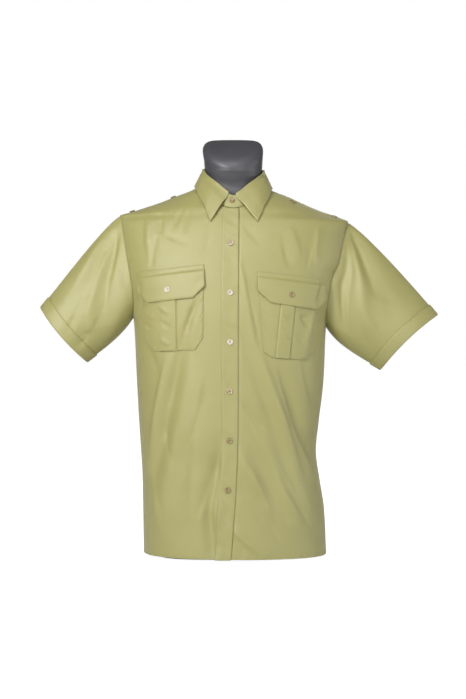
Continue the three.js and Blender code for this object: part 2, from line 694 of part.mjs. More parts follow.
// Points and outward normals of the sleeve's outside, in rings from the armhole to the cuff's edge.
function sleeveRings(side) {
  const angles = sleeveAngles();
  const lines = angles.map((angle) => sleeveLine(side, angle));
  const shares = (line) => [
    ...steps(ROWS.sleeve).map((share) => share * line.bandShare),
    ...steps(ROWS.cuff).slice(1).map((share) => lerp(line.bandShare, 1, share)),
  ];
  const table = lines.map((line) => shares(line).map((share) => line.curve.getPoint(share)));
  const smoothRings = table[0].map((_, row) => table.map((line) => line[row]));
  const smoothNormals = ringNormals(smoothRings);
  const points = smoothRings.map((ring, row) => ring.map((point, i) => {
    const lift = sleeveLift(side, angles[i], shares(lines[i])[row]);
    return point.clone().addScaledVector(smoothNormals[row][i], row === 0 ? 0 : lift);
  }));
  const normals = ringNormals(points);
  normals[0] = normals[0].map((normal, i) => normal.add(lines[i].root.normal).normalize());
  return { points, normals };
}

// Normals of a tube of rings, pointing away from each ring's middle.
function ringNormals(rings) {
  return rings.map((ring, row) => {
    const middle = ring.reduce((sum, point) => sum.add(point), new THREE.Vector3()).divideScalar(ring.length);
    const above = rings[Math.max(0, row - 1)];
    const below = rings[Math.min(rings.length - 1, row + 1)];
    return ring.map((point, i) => {
      const round = ring[(i + 1) % ring.length].clone().sub(ring[(i + ring.length - 1) % ring.length]);
      const normal = round.cross(below[i].clone().sub(above[i])).normalize();
      return normal.multiplyScalar(Math.sign(normal.dot(point.clone().sub(middle))) || 1);
    });
  });
}

const moveOut = (points, normals, distance) => points.map((row, j) => (
  row.map((point, i) => point.clone().addScaledVector(normals[j][i], distance))
));

function sleeve(side) {
  const { points, normals } = sleeveRings(side);
  return wall(points, moveOut(points, normals, -CLOTH), true);
}

function cuff(side) {
  const { points, normals } = sleeveRings(side);
  const from = ROWS.sleeve;
  const band = points.slice(from);
  const out = normals.slice(from);
  return wall(moveOut(band, out, LAYER_GAP + CLOTH), moveOut(band, out, LAYER_GAP), true);
}

// A point of the collar stand's outside: rise runs from 0 at the neckline to 1 at the top.
function standPoint(angle, rise, out) {
  const foot = skin(neckline(angle));
  const fromFront = THREE.MathUtils.radToDeg(Math.acos(Math.cos(angle)));
  const crest = COLLAR.crest * Math.exp(-(((fromFront - COLLAR.crestAt) / COLLAR.crestSpread) ** 2));
  const tall = lerp(COLLAR.standFront, COLLAR.standBack, (1 - Math.cos(angle)) / 2) + crest;
  const depth = Math.cos(angle) > 0 ? COLLAR.front : COLLAR.back;
  const top = new THREE.Vector3(
    NECK.centre + COLLAR.half * Math.sin(angle),
    -depth * Math.cos(angle),
    foot.z + tall,
  );
  foot.z += COLLAR.lift;
  const away = new THREE.Vector3(Math.sin(angle), -Math.cos(angle), 0);
  return foot.lerp(top, rise).addScaledVector(away, out);
}

// The stand runs from its end under the wearer's left front, round the back, to its buttoned end.
function standAngles() {
  const right = frontNeckAngles(RIGHT);
  const back = [...yokeNeckAngles()].reverse().map((angle) => angle - 2 * Math.PI);
  const left = [...frontNeckAngles(LEFT)].reverse().map((angle) => angle - 2 * Math.PI);
  const end = Math.asin((COLLAR.overEnd - NECK.centre) / NECK.half) - 2 * Math.PI;
  const over = steps(COLLAR.overStations).map((share) => lerp(left[left.length - 1], end, share));
  return [...right, ...back.slice(1), ...left.slice(1), ...over.slice(1)];
}

function overOut(angle) {
  const degrees = THREE.MathUtils.radToDeg(angle + 2 * Math.PI);
  return COLLAR.overOut * (1 - smooth(degrees, COLLAR.overTo, COLLAR.overFrom));
}

function collarStand() {
  const rises = [0, 0.5, 1];
  const layer = (out) => rises.map((rise) => (
    standAngles().map((angle) => standPoint(angle, rise, overOut(angle) + out))
  ));
  return wall(layer(0), layer(-STAND_CLOTH));
}

// The leaf's middle line from the stand's top over the roll to its outer edge.
function leafLine(angle, side, share) {
  const near = 1 - smooth(share, 0, COLLAR.overShare);
  const roll = ROLL.map((step) => (
    standPoint(angle, 1, step.out + near * COLLAR.overOut).add(new THREE.Vector3(0, 0, step.up))
  ));
  const rim = leafEdge(share);
  const heading = radians(side === RIGHT ? rim.rightHeading : rim.leftHeading);
  const reach = side === RIGHT ? rim.rightReach : rim.leftReach;
  const edge = overhead(NECK.centre + side * reach * Math.sin(heading), -reach * Math.cos(heading));
  const rest = skin(edge, COLLAR.rest);
  const bulge = COLLAR.bulge * (1 - smooth(share, ...COLLAR.bulgeFade));
  const start = roll[roll.length - 1];
  const away = new THREE.Vector3(Math.sin(angle), -Math.cos(angle), 0);
  const fall = steps(COLLAR.fallRows).slice(1).map((part) => (
    start.clone().lerp(rest, part).addScaledVector(away, bulge * Math.sin(Math.PI * part))
  ));
  return [...roll, ...fall];
}

function collarLeaf() {
  const angleAt = (x) => Math.asin((x - NECK.centre) / COLLAR.half);
  const half = (side, x) => steps(COLLAR.leafStations / 2).map((share) => {
    const spread = share ** COLLAR.crowding;
    return leafLine(lerp(angleAt(x), side * Math.PI, spread), side, spread);
  });
  const left = half(LEFT, COLLAR.leafLeft);
  const right = half(RIGHT, COLLAR.leafRight).reverse();
  const points = [...left, ...right.slice(1)];
  const normals = points.map((line, i) => line.map((_, j) => {
    const before = points[Math.max(0, i - 1)][j];
    const after = points[Math.min(points.length - 1, i + 1)][j];
    const along = after.clone().sub(before);
    const down = line[Math.min(line.length - 1, j + 1)].clone().sub(line[Math.max(0, j - 1)]);
    return down.cross(along).normalize();
  }));
  return wall(moveOut(points, normals, LEAF_CLOTH / 2), moveOut(points, normals, -LEAF_CLOTH / 2));
}

function placket() {
  const heights = centreHeights(RIGHT).map((z) => Math.min(z, PLACKET.top));
  const layer = (out) => heights.map((z, row) => [-1, 0, 1].map((across) => {
    const x = centreLine(z) + across * PLACKET.half;
    return skin(placeAt(x, row === 0 ? hemAt(x) : z), out);
  }));
  return wall(layer(PLACKET.gap + CLOTH), layer(PLACKET.gap));
}

// The height of a polyline of [x, z] points at one x.
function heightOn(line, x) {
  const ordered = [...line].sort((a, b) => a[0] - b[0]);
  const passed = ordered.filter((point) => point[0] <= x).length;
  const next = THREE.MathUtils.clamp(passed, 1, ordered.length - 1);
  const [from, to] = [ordered[next - 1], ordered[next]];
  return lerp(from[1], to[1], (x - from[0]) / (to[0] - from[0]));
}

// Adds lines between neighbouring lines of a pocket piece that lie far apart.
function fillLines(lines) {
  return lines.flatMap((line, i) => {
    if (i === 0) return [line];
    const before = lines[i - 1];
    const parts = Math.ceil(Math.abs(line.top[0] - before.top[0]) / POCKET.widest);
    return steps(parts).slice(1).map((share) => ({
      top: before.top.map((value, axis) => lerp(value, line.top[axis], share)),
      foot: before.foot.map((value, axis) => lerp(value, line.foot[axis], share)),
      raised: lerp(before.raised, line.raised, share),
    }));
  });
}

function pocket(side) {
  const { bag, pleat } = POCKETS[side];
  const step = side * POCKET.pleatStep;
  const line = (topX, footX, raised) => ({
    top: [topX, heightOn(bag.top, topX)],
    foot: [footX, heightOn(bag.foot, footX)],
    raised,
  });
  const corner = (index, share) => line(lerp(bag.top[0][0], bag.top[1][0], share), bag.foot[index][0], 0);
  const lines = fillLines([
    corner(0, 0),
    corner(1, POCKET.bagCorner),
    line(pleat.top[0] - step, pleat.foot[0] - step, 0),
    line(pleat.top[0], pleat.foot[0], 1),
    line(pleat.top[1], pleat.foot[1], 1),
    line(pleat.top[1] + step, pleat.foot[1] + step, 0),
    corner(2, 1 - POCKET.bagCorner),
    corner(3, 1),
  ]);
  const layer = (out, rise) => steps(POCKET.bagRows).map((share) => lines.map(({ top, foot, raised }) => {
    const place = placeAt(lerp(top[0], foot[0], share), lerp(top[1], foot[1], share));
    return skin(place, out + rise * raised);
  }));
  return wall(layer(POCKET.gap + CLOTH, POCKET.pleatRise), layer(POCKET.gap, 0));
}

// How far the flap's inside stands off the front, down from its top edge.
function flapLift(down) {
  const over = POCKET.gap + CLOTH + POCKET.pleatRise + LAYER_GAP;
  return lerp(POCKET.gap, over, smooth(down, ...POCKET.flapRamp));
}

function flapPlaces(side) {
  const { flap } = POCKETS[side];
  const [topIn, topOut] = flap.top;
  const line = (index, share) => ({
    top: [lerp(topIn[0], topOut[0], share), lerp(topIn[1], topOut[1], share)],
    foot: flap.foot[index],
    raised: 0,
  });
  const { flapCorner } = POCKET;
  const lines = fillLines([line(0, 0), line(1, flapCorner), line(2, 1 - flapCorner), line(3, 1)]);
  return lines.map(({ top, foot }) => {
    const long = top[1] - foot[1];
    return [...POCKET.flapRows, long].map((down) => ({
      down,
      place: placeAt(lerp(top[0], foot[0], down / long), top[1] - down),
    }));
  });
}

function pocketFlap(side) {
  const lines = flapPlaces(side);
  const layer = (out) => lines.map((line) => (
    line.map(({ place, down }) => skin(place, flapLift(down) + out))
  ));
  return wall(layer(FLAP_CLOTH), layer(0));
}

// The form stands inside the shirt: its trunk follows the cloth at a gap, its neck ends in a slanted cap.
function formRing(z) {
  return steps(FORM.sides).slice(0, -1).map((share) => {
    const turn = share * 2 * Math.PI;
    const gap = formGap(z);
    const facing = Math.cos(turn) ** 2;
    const distance = lerp(gap.side, Math.cos(turn) > 0 ? gap.front : gap.back, facing);
    const point = bare(turn, z).addScaledVector(skinNormal(turn, z), -distance);
    if (z === 0) point.z = 0;
    return point;
  });
}

// A ring of the neck's slanted cap, drawn in from the neck's side and raised. One with a share under 1 lies
// lower on the neck, between the trunk's last ring and the cap.
function formRim(inset, rise, share = 1) {
  const middle = section(FORM.capFront);
  const trunkTop = FORM_HEIGHTS[FORM_HEIGHTS.length - 1];
  return steps(FORM.sides).slice(0, -1).map((around) => {
    const turn = around * 2 * Math.PI;
    const depth = middle.front + middle.back;
    const slantAt = (y) => {
      const back = (y + middle.front) / depth;
      return lerp(FORM.capFront, FORM.capBack, back) + FORM.capArch * (1 - (2 * back - 1) ** 2);
    };
    const rough = bare(turn, slantAt(0));
    if (share < 1) return bare(turn, lerp(trunkTop, slantAt(rough.y), share));
    const point = bare(turn, slantAt(rough.y));
    const keep = 1 - inset / middle.front;
    point.x = lerp(middle.centre, point.x, keep);
    point.y *= keep;
    return point.setZ(slantAt(point.y) + rise);
  });
}

function dressForm() {
  const rings = [
    ...FORM_HEIGHTS.map(formRing),
    ...FORM.neckRings.map((share) => formRim(0, 0, share)),
    ...FORM.rims.map(([inset, rise]) => formRim(inset, rise)),
  ];
  const points = rings.flat();
  const { sides } = FORM;
  const triangles = [];
  rings.slice(1).forEach((_, row) => {
    for (let i = 0; i < sides; i += 1) {
      const next = (i + 1) % sides;
      const [low, high] = [row * sides, (row + 1) * sides];
      const [a, b, c, d] = [low + i, low + next, high + next, high + i];
      triangles.push([a, b, c], [a, c, d]);
    }
  });
  const close = (row, flip) => {
    const middle = rings[row].reduce((sum, point) => sum.add(point), new THREE.Vector3()).divideScalar(sides);
    points.push(middle);
    for (let i = 0; i < sides; i += 1) {
      const pair = [row * sides + i, row * sides + ((i + 1) % sides)];
      triangles.push(flip ? [points.length - 1, pair[1], pair[0]] : [points.length - 1, ...pair]);
    }
  };
  close(0, true);
  close(rings.length - 1, false);
  return solid(points, triangles);
}

const buttonShape = new THREE.LatheGeometry(
  BUTTON_SECTION.map(({ out, up }) => new THREE.Vector2(out, up)),
  BUTTON.sides,
);

const material = (color, roughness) => (
  new THREE.MeshStandardMaterial({ color, roughness, metalness: 0 })
);
const finishes = {
  cloth: material(COLOURS.cloth, 0.75),
  form: material(COLOURS.form, 0.5),
  pearl: material(COLOURS.pearl, 0.3),
  horn: material(COLOURS.horn, 0.3),
};

const shirt = new THREE.Group();
shirt.name = 'military_shirt_on_form';

function add(name, geometry, finish = finishes.cloth) {
  const mesh = new THREE.Mesh(geometry, finish);
  mesh.name = name;
  shirt.add(mesh);
  return mesh;
}

function addButton(name, foot, normal, finish) {
  const mesh = add(`button_${name}`, buttonShape, finish);
  mesh.position.copy(foot);
  mesh.quaternion.setFromUnitVectors(new THREE.Vector3(0, 1, 0), normal);
}

function addButtonOn(name, place, out, finish) {
  addButton(name, skin(place, out + BUTTON.gap), skinNormal(place.turn, place.z), finish);
}

add('dress_form', dressForm(), finishes.form);
add('back', panel(backPlaces()));
add('yoke', panel(yokePlaces()));
[['right', RIGHT], ['left', LEFT]].forEach(([word, side]) => {
  add(`front_${word}`, panel(frontPlaces(side)));
  add(`sleeve_${word}`, sleeve(side));
  add(`cuff_${word}`, cuff(side));
  add(`pocket_${word}`, pocket(side));
  add(`pocket_flap_${word}`, pocketFlap(side));
});
add('placket', placket());
add('collar_stand', collarStand());
add('collar_leaf', collarLeaf());

const placketTop = PLACKET.gap + CLOTH;
for (let i = 0; i < PLACKET_BUTTONS.count; i += 1) {
  const z = PLACKET_BUTTONS.first - i * PLACKET_BUTTONS.pitch;
  const finish = i < PLACKET_BUTTONS.pearly ? finishes.pearl : finishes.horn;
  addButtonOn(`placket_${i + 1}`, placeAt(centreLine(z), z), placketTop, finish);
}
[['right', RIGHT, finishes.pearl], ['left', LEFT, finishes.horn]].forEach(([word, side, finish]) => {
  const [x, z] = POCKETS[side].button;
  addButtonOn(`flap_${word}`, placeAt(x, z), flapLift(POCKET.flapRamp[1]) + FLAP_CLOTH, finish);
});
SHOULDER_BUTTONS.forEach(({ name, x, y, out }) => {
  addButtonOn(`shoulder_${name}`, overhead(x, y), out, finishes.horn);
});

const collarAngle = Math.asin((COLLAR_BUTTON.x - NECK.centre) / NECK.half);
const collarAt = (rise) => standPoint(collarAngle, rise, COLLAR.overOut);
const collarRun = collarAt(1).sub(collarAt(0));
const collarOut = collarRun.clone().cross(new THREE.Vector3(1, 0, 0)).normalize();
if (collarOut.y > 0) collarOut.negate();
const collarFoot = collarAt(COLLAR_BUTTON.rise).addScaledVector(collarOut, BUTTON.gap);
addButton('collar', collarFoot, collarOut, finishes.horn);

export default shirt;
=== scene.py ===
"""A short-sleeved military shirt, buttoned to the neck, on a limbless dress form.

The shirt's front faces -Y and the wearer's left is +X. Tables and functions work in millimetres and
degrees, and MM turns them into Blender's metres where a mesh is made.
"""
import math
from types import SimpleNamespace

import bpy
import numpy as np
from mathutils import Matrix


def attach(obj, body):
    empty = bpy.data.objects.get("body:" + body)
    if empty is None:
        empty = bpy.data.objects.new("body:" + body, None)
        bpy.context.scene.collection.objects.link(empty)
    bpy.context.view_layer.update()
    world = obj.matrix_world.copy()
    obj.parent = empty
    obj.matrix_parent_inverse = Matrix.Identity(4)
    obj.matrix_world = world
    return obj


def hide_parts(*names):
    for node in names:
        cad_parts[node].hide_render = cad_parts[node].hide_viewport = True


bl_info = {
    "name": "Military Shirt on a Dress Form",
    "version": (1, 0, 0),
    "blender": (4, 5, 0),
    "location": "View3D > Sidebar > Shirt",
    "description": "Builds a short-sleeved military shirt worn by a limbless dress form",
    "category": "Object",
}

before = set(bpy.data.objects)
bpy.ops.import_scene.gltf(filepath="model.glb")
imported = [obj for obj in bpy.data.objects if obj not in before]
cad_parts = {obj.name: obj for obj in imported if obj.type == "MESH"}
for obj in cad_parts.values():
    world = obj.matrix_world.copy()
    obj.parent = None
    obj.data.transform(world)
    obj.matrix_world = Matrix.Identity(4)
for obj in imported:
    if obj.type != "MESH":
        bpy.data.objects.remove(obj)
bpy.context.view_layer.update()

MM = 0.001
RIGHT = -1
LEFT = 1
SIDES = {"right": RIGHT, "left": LEFT}
QUARTER = math.pi / 2
TURN = 2 * math.pi


def rows(columns, *values):
    """A list of records with named fields, one for each row of a short table."""
    names = columns.split()
    return [SimpleNamespace(**dict(zip(names, row))) for row in values]


# The worn outline, a row for each height. right and left are half widths, front and back are depths,
# and wide and deep are the powers of the section's oval.
BODY = rows(
    "z centre right left front back wide deep",
    (0, -5, 184, 211, 150, 138, 2.3, 2.2),
    (100, -4.5, 186, 206, 146, 134, 2.3, 2.2),
    (170, -4, 188, 195, 143, 131, 2.3, 2.2),
    (230, -3, 192, 186.5, 141, 129, 2.3, 2.2),
    (290, -2.5, 196.5, 192, 141, 128, 2.3, 2.2),
    (380, -1.5, 202.5, 201.5, 142, 127, 2.3, 2.2),
    (500, -0.5, 209.5, 206, 142, 126, 2.3, 2.2),
    (560, 0, 220, 220, 139, 125, 2.3, 2.2),
    (600, 0, 229, 229, 134, 124, 2.28, 2.15),
    (636, 1, 236, 243, 127, 121, 2.25, 2.1),
    (671, 1.5, 240, 247, 118, 117, 2.2, 2),
    (700, 2, 243, 250, 109, 112, 2.2, 1.8),
    (720, 2, 244, 254, 101, 107, 2.2, 1.6),
    (735, 3, 244.7, 222, 93.5, 101, 2.2, 1.28),
    (745, 3, 214, 192, 89, 98, 2.2, 1.45),
    (764, 4, 157, 146, 74.5, 93, 2.2, 1.7),
    (777, 4.5, 124.5, 117.5, 65, 89, 2.15, 1.8),
    (792, 5, 87, 80, 57, 84, 2.05, 1.9),
    (800, 5, 76, 74, 55, 80.5, 2, 2),
    (812, 5, 67, 67, 57, 73, 2, 2),
    (830, 5, 62.2, 62.2, 62, 66, 2, 2),
    (850, 4.8, 63.3, 63.3, 62.5, 66, 2.3, 2.3),
    (877, 3.7, 65.7, 65.7, 63.5, 67, 2.8, 2.8),
    (910, 3.2, 66.5, 66.5, 64, 68, 3.2, 3.2),
)
# The hem, its row of stitches, and the small waves above them. The placket ends a little below it.
HEM = SimpleNamespace(
    height=7, tilt=-0.008, stitch=6.5, pucker=7, around=200, waves=((0.22, 2.9, 0), (0.16, 4.7, 1.3)),
    placket_below=1.2,
)
CLOTH = 1.4
# How far in from an edge rows of sewing lie, and how far cloth sinks at its rolled edge and under stitches.
NEAR_EDGE, EDGE_ROW, WIDE_ROW, COLLAR_ROW, CUFF_ROW = 1.5, 2.1, 7, 5.5, 22
SEAM = SimpleNamespace(gap=0.4, roll=0.55, groove=0.22, width=0.9)
CENTRE_LINE = rows("z x", (0, -18), (80, -12), (160, -6.5), (300, -2.5), (560, -2), (760, 0))
SHOULDER_FLOOR = 700
OVERHEAD = SimpleNamespace(low=690, high=830, halvings=34)
NECK = SimpleNamespace(centre=5, half=75, front=88, back=78, seam=70)
ARMHOLE = {
    RIGHT: SimpleNamespace(tip=734.7, pit=515, front=49, front_lean=0.45, back=72, back_lean=0.12),
    LEFT: SimpleNamespace(tip=719.5, pit=495, front=50, front_lean=0.36, back=72, back_lean=0.12),
}
YOKE = SimpleNamespace(front=36, back=35, height=705)

# Small steps round and up the body, from which its slope is taken, and how far a wall's rim bulges.
PROBE = SimpleNamespace(turn=0.02, rise=0.8)
RIM_BULGE = 0.4

# How many stations each stretch of a seam has, the height where a front's stations change their step,
# and the grid's lines beside a sewn edge.
NECK_STEPS, SHOULDER_STEPS, BACK_STEPS = 5, 7, 18
SIDE_STEPS, ARM_STEPS, BACK_ARM_STEPS = 12, 12, 11
YOKE_FRONT_STEPS, YOKE_BACK_STEPS = 2, 3
CENTRE_SPLIT = 493
EDGE_LINES = (0.4, 0.9, 1.5, 2.1, 2.8, 3.8)

SLEEVE = SimpleNamespace(
    root_gap=0.5, root_slope=46, root_spread=14, root_pull=0.245, root_pull_spread=0.085,
    cuff_pull=0.33, forward=0.1, folds_from=0.15, cuff_depth=45, cuff_power=1.5, band=26,
)
CUFF = {
    RIGHT: SimpleNamespace(top=(-412, 537), foot=(-311.7, 420.2), slope=44, spread=7, bow=4),
    LEFT: SimpleNamespace(top=(446, 521.8), foot=(322.8, 403.3), slope=41, spread=9, bow=-9),
}
# The cuff's turned-up cloth in section: how far past the sleeve's edge and how far out.
CUFF_PROFILE = rows(
    "past out",
    (-26, 1.5), (-25, 1.6), (-20, 1.7), (-14, 1.7), (-8, 1.7), (-3, 1.7), (-1, 1.6), (0.1, 1.35),
    (0.9, 0.7), (1.2, -0.3), (1.1, -1.1), (0.5, -1.9), (-0.6, -2.3), (-3, -2.4), (-9, -2.4), (-16, -2.4),
)

PLACKET = SimpleNamespace(half=17, top=745.6, gap=0.4, row=6)
FRONT_EDGE = {RIGHT: 14.2, LEFT: 15}
COLLAR = SimpleNamespace(
    lift=0.4, stand_front=25, stand_back=38, half=64.7, front=76, back=71.5, over_end=-14,
    over_from=22, over_to=10, over_out=2.5, over_share=0.12, leaf_right=-5, leaf_left=10,
    bulge=3.5, bulge_from=0.15, bulge_to=0.45, rest=4.2, crowding=1.15, crest=10.5, crest_at=30,
    crest_spread=22, leaf_run=190, stand_steps=260, leaf_steps=121, roll_steps=21,
)
ROLL = rows("out up", (-0.9, 1.3), (-0.5, 3), (0.9, 4), (2.3, 3), (2.8, 0.6))
LEAF_EDGE = rows(
    "share right_heading right_reach left_heading left_reach",
    (0, 25.6, 112.4, 26.8, 113),
    (0.22, 43, 98.4, 45, 99.5),
    (0.48, 86, 82.5, 87, 82.5),
    (0.74, 134, 84, 134, 84),
    (1, 180, 82.5, 180, 82.5),
)
POCKETS = {
    RIGHT: SimpleNamespace(
        flap_top=((-57.5, 624), (-195.6, 609)),
        flap_foot=((-55, 578.5), (-79, 554.7), (-171.3, 545.8), (-195.5, 567)),
        bag_top=((-58, 604), (-193, 589)),
        bag_foot=((-59, 470.5), (-75.5, 445), (-162, 442.5), (-178, 460)),
        pleat_top=(-116, -144.3), pleat_foot=(-114, -150), button=(-131.8, 572),
    ),
    LEFT: SimpleNamespace(
        flap_top=((56.2, 609.4), (197.7, 594.2)),
        flap_foot=((56.3, 569.3), (82.4, 544.2), (177, 531.4), (196.4, 549.5)),
        bag_top=((58, 589), (194, 574)),
        bag_foot=((68.7, 440), (86, 429.3), (154, 424), (176, 443)),
        pleat_top=(108.8, 138), pleat_foot=(92.6, 122), button=(125.9, 561),
    ),
}
POCKET = SimpleNamespace(
    gap=0.9, pleat_rise=0.8, pleat_step=0.8, bag_corner=0.13, flap_corner=0.17, flap_ramp=(8, 15),
    layer_gap=0.8, line_step=2.0,
)
# How far a bag's middle stands away from the chest, and the ripple along its sewn edges.
BAG = SimpleNamespace(
    swell={RIGHT: 0.96, LEFT: 1.28}, swell_from=2, swell_to=30, ripple=0.45, ripple_at=4,
    waves=((1, 2.3, 0), (0.6, 3.7, 2)), waves_slant=0.7,
)
# How far a pleat stands proud beside the solid's, and the grooves beside it, inner and outer.
PLEAT = SimpleNamespace(
    lift=2.2, grooves={RIGHT: (1.4, 0.2), LEFT: (1.1, 1.4)}, groove_width=1.5,
    lines=(-2.4, -1.8, -1.2, -0.4, 0.4, 1.2, 1.8, 2.4),
)
# A flap's cloth, its upper row of stitches, and how far its middle and its lower edge stand out.
FLAP = SimpleNamespace(cloth=1.8, row=10, row_sink=0.16, row_width=1.4, swell=1.2, curl=2.2, soft=22)
# The groove beside the placket's stitched edge, and how far its free edge lifts between buttons.
PLACKET_GROOVE = SimpleNamespace(depth=1.7, at=1.6, width=1.7, starts=(-1.2, 0.4))
PLACKET_LIFT = SimpleNamespace(
    high=0.9, low=2.6, low_from=-330, low_to=-60, waves=((0.3, 6.1, 0), (0.22, 3.3, 1)), slant=9,
    cross_waves=((0.2, 8.7, 0),), cross_slant=-14, edge_share=0.6,
)
BUTTON = SimpleNamespace(gap=0.3, sides=40, sharp=38, turned=0.25, collar_turned=0.1)
PLACKET_BUTTONS = SimpleNamespace(first=668.7, pitch=103.4, count=6, pearly=3)
COLLAR_BUTTON = SimpleNamespace(x=1.5, rise=0.58)
SHOULDER_BUTTONS = rows(
    "name x y out",
    ("right_inner", -125.4, 0, 0), ("right_outer", -214, 0, 0),
    ("left_inner", 132, -36, -0.4), ("left_outer", 223, -18, 0),
)

# Large folds, each from x0, y0 to x1, y1. On the body y is the height. On a sleeve x is the angle round it
# in degrees, and y how far down it is in percent. A negative depth is a trough.
FOLDS = {
    "front": rows(
        "x0 y0 x1 y1 width depth",
        (-92, 490, -176, 120, 20, -5.5), (-128, 440, -178, 170, 14, 3.5), (-76, 425, -160, 60, 20, 5),
        (-100, 280, -124, 40, 24, -4), (20, 560, 178, 60, 13, 4), (14, 500, 158, 90, 12, -4.5),
        (22, 322, 185, 35, 14, 4.5), (19, 291, 125, 75, 13, -5), (20, 181, 95, 40, 18, -4.5),
        (112, 400, 176, 200, 14, -5),
    ),
    "back": rows(
        "x0 y0 x1 y1 width depth",
        (-70, 560, -140, 250, 26, -5), (60, 560, 120, 200, 26, -5), (-10, 600, 10, 220, 30, 4),
        (150, 420, 110, 120, 22, 4), (-150, 420, -80, 120, 24, 4),
    ),
}
# Finer creases. bow is how far the middle of one bends sideways.
CREASES = {
    "front": rows(
        "x0 y0 x1 y1 width depth bow",
        (-134, 440, -176, 175, 7, 3, 5), (-20, 275, -52, 85, 12, -5.5, -3),
        (-54, 170, -36, -20, 12, -5.5, -3), (-60, 330, -84, 80, 18, 3, 4),
        (10, 240, 90, 85, 11, 4.2, -5), (-5, 80, 75, 10, 9, 3.6, 4),
        (25, 340, 67, 277, 4.5, -2.2, 3), (24, 330, 120, 130, 10, -3.6, 5),
        (60, 440, 150, 170, 9, 3.2, -4), (96, 430, 168, 220, 9, -3.6, 4),
        (60, 250, 160, 60, 10, 3.2, 5), (90, 210, 176, 40, 9, -3.2, -4),
        (14, 640, 52, 440, 7, 2.5, -4), (28, 590, 58, 450, 5, -1.6, -3),
        (-96.6, 753, -128, 692, 6, -1.6, 3), (-86, 749, -98.7, 690, 5, -1.3, 2),
        (-153, 740, -150, 690, 7, -2, -3), (-155, 700, -90, 668, 8, -1.1, 3),
        (-176, 734, -172, 629, 8, 2, 4), (-157, 692, -170, 617, 5, -1.6, 2),
        (123.5, 707, 144, 629, 10, 1.5, -4), (109, 686, 123.5, 612, 7, -1.1, 2),
        (186, 707, 182, 623, 6, 1.8, 3), (169.6, 665, 157, 612, 5, -1.3, -2),
        (-68, 556, -101, 462, 8, -4, 3), (-188, 528, -158, 512, 5, 1.1, 2),
        (-186, 505, -163, 488, 4, -1.4, 2), (-154, 541, -126, 520, 5, 1.1, 2),
        (-151, 506, -125, 490, 5, -1.1, -2), (-149, 470, -126, 455, 5, 1.4, 2),
        (-94, 490, -162, 170, 11, -3, 5), (144, 532, 164, 490, 8, -2.4, 3),
        (126, 482, 152, 440, 5, 1.4, 3), (110, 522, 128, 504, 4, -1.3, 2),
        (102, 484, 122, 468, 4, 1.3, 2), (-60, 400, -96, 250, 9, 2.2, -5),
        (60, 330, 128, -40, 40, -5, 6), (30, 60, 34, -30, 12, 2, 3),
        (196, 600, 176, 520, 6, -2, 3), (-196, 600, -186, 520, 6, -2, -3),
        (186, 560, 150, 420, 8, 1.8, 4), (-188, 470, -150, 380, 8, -1.6, -4),
        (-150, 330, -120, 190, 8, -1.8, 4), (-30, 190, -70, 60, 8, 1.8, 3),
        (-190, 250, -150, 40, 10, 2, -5), (100, 330, 190, 140, 8, 1.8, -6),
        (30, 210, 110, 30, 7, -1.8, 4), (130, 180, 185, 40, 9, -2, 4),
        (150, 430, 185, 300, 8, -2, 3), (20, 720, 70, 660, 9, -0.8, 3),
        (-40, 715, -60, 640, 8, -0.8, -3),
    ),
    "back": rows(
        "x0 y0 x1 y1 width depth bow",
        (120, 690, 60, 560, 12, 2.6, 6), (-130, 680, -60, 540, 12, 2.4, -6),
        (150, 560, 90, 400, 10, -2.6, 5), (-160, 540, -110, 380, 10, -2.4, -5),
        (60, 480, 20, 250, 12, 2.4, 6), (-40, 460, -70, 230, 11, -2.2, 5),
        (150, 320, 110, 80, 11, 2.6, -6), (20, 300, 50, 60, 13, -2.6, 5),
        (-110, 300, -140, 70, 11, 2.4, 6), (-60, 200, -40, 20, 10, 2, -4),
        (85, 230, 100, 30, 8, -1.8, 4),
    ),
}
CREASE = SimpleNamespace(strength=1.3, steep=0.72, gentle=1.3, uneven=((0.2, 7.5), (0.12, 17)))
FOLD = SimpleNamespace(fade=0.8, side_fade=(0.05, 0.45))
SLEEVE_FOLDS = {
    RIGHT: rows(
        "x0 y0 x1 y1 width depth",
        (36, 6, 118, 65, 14, -6.5), (52, 25, 112, 80, 12, 4), (112, 8, 140, 50, 14, 3),
        (-50, 10, -75, 90, 18, -6), (-105, 10, -115, 80, 18, -4),
    ),
    LEFT: rows(
        "x0 y0 x1 y1 width depth",
        (40, 0, 138, 34, 12, -6.5), (33, 7, 126, 70, 10, 4), (21, 4, 80, 55, 13, -6.5),
        (-50, 10, -75, 90, 18, -6), (-105, 10, -115, 80, 18, -4),
    ),
}
SLEEVE_CREASES = {
    RIGHT: rows(
        "x0 y0 x1 y1 width depth bow",
        (40, 4, 108, 50, 5, -2.4, 2), (46, 17, 112, 75, 5, 1.6, -2),
        (62, 5, 112, 9, 6, -1.8, 1), (112, 70, 124, 100, 8, -2.2, 2),
        (18, 25, 60, 90, 9, 1.4, 3), (84, 30, 120, 85, 6, 1.8, 2),
        (70, 50, 96, 95, 6, -1.6, -2), (-20, 15, -48, 85, 9, 2.2, 3),
        (-62, 10, -96, 60, 8, 2.2, -3), (-88, 45, -104, 98, 9, -2, 3),
        (-130, 10, -140, 70, 9, 2, 2),
    ),
    LEFT: rows(
        "x0 y0 x1 y1 width depth bow",
        (44, 2, 136, 33, 4.5, -2.4, 2), (42, 6, 146, 45, 4.5, 2, -2),
        (30, 7, 126, 68, 4.5, 2, 2), (24, 5, 78, 52, 5, -2.2, -1),
        (60, 60, 100, 95, 9, -1.6, 3), (90, 40, 130, 90, 7, 1.6, -2),
        (-22, 20, -44, 90, 9, 2.2, -3), (-64, 12, -92, 65, 8, 2.2, 3),
        (-90, 50, -110, 98, 9, -2, -3), (-128, 10, -142, 72, 9, 2, 2),
    ),
}

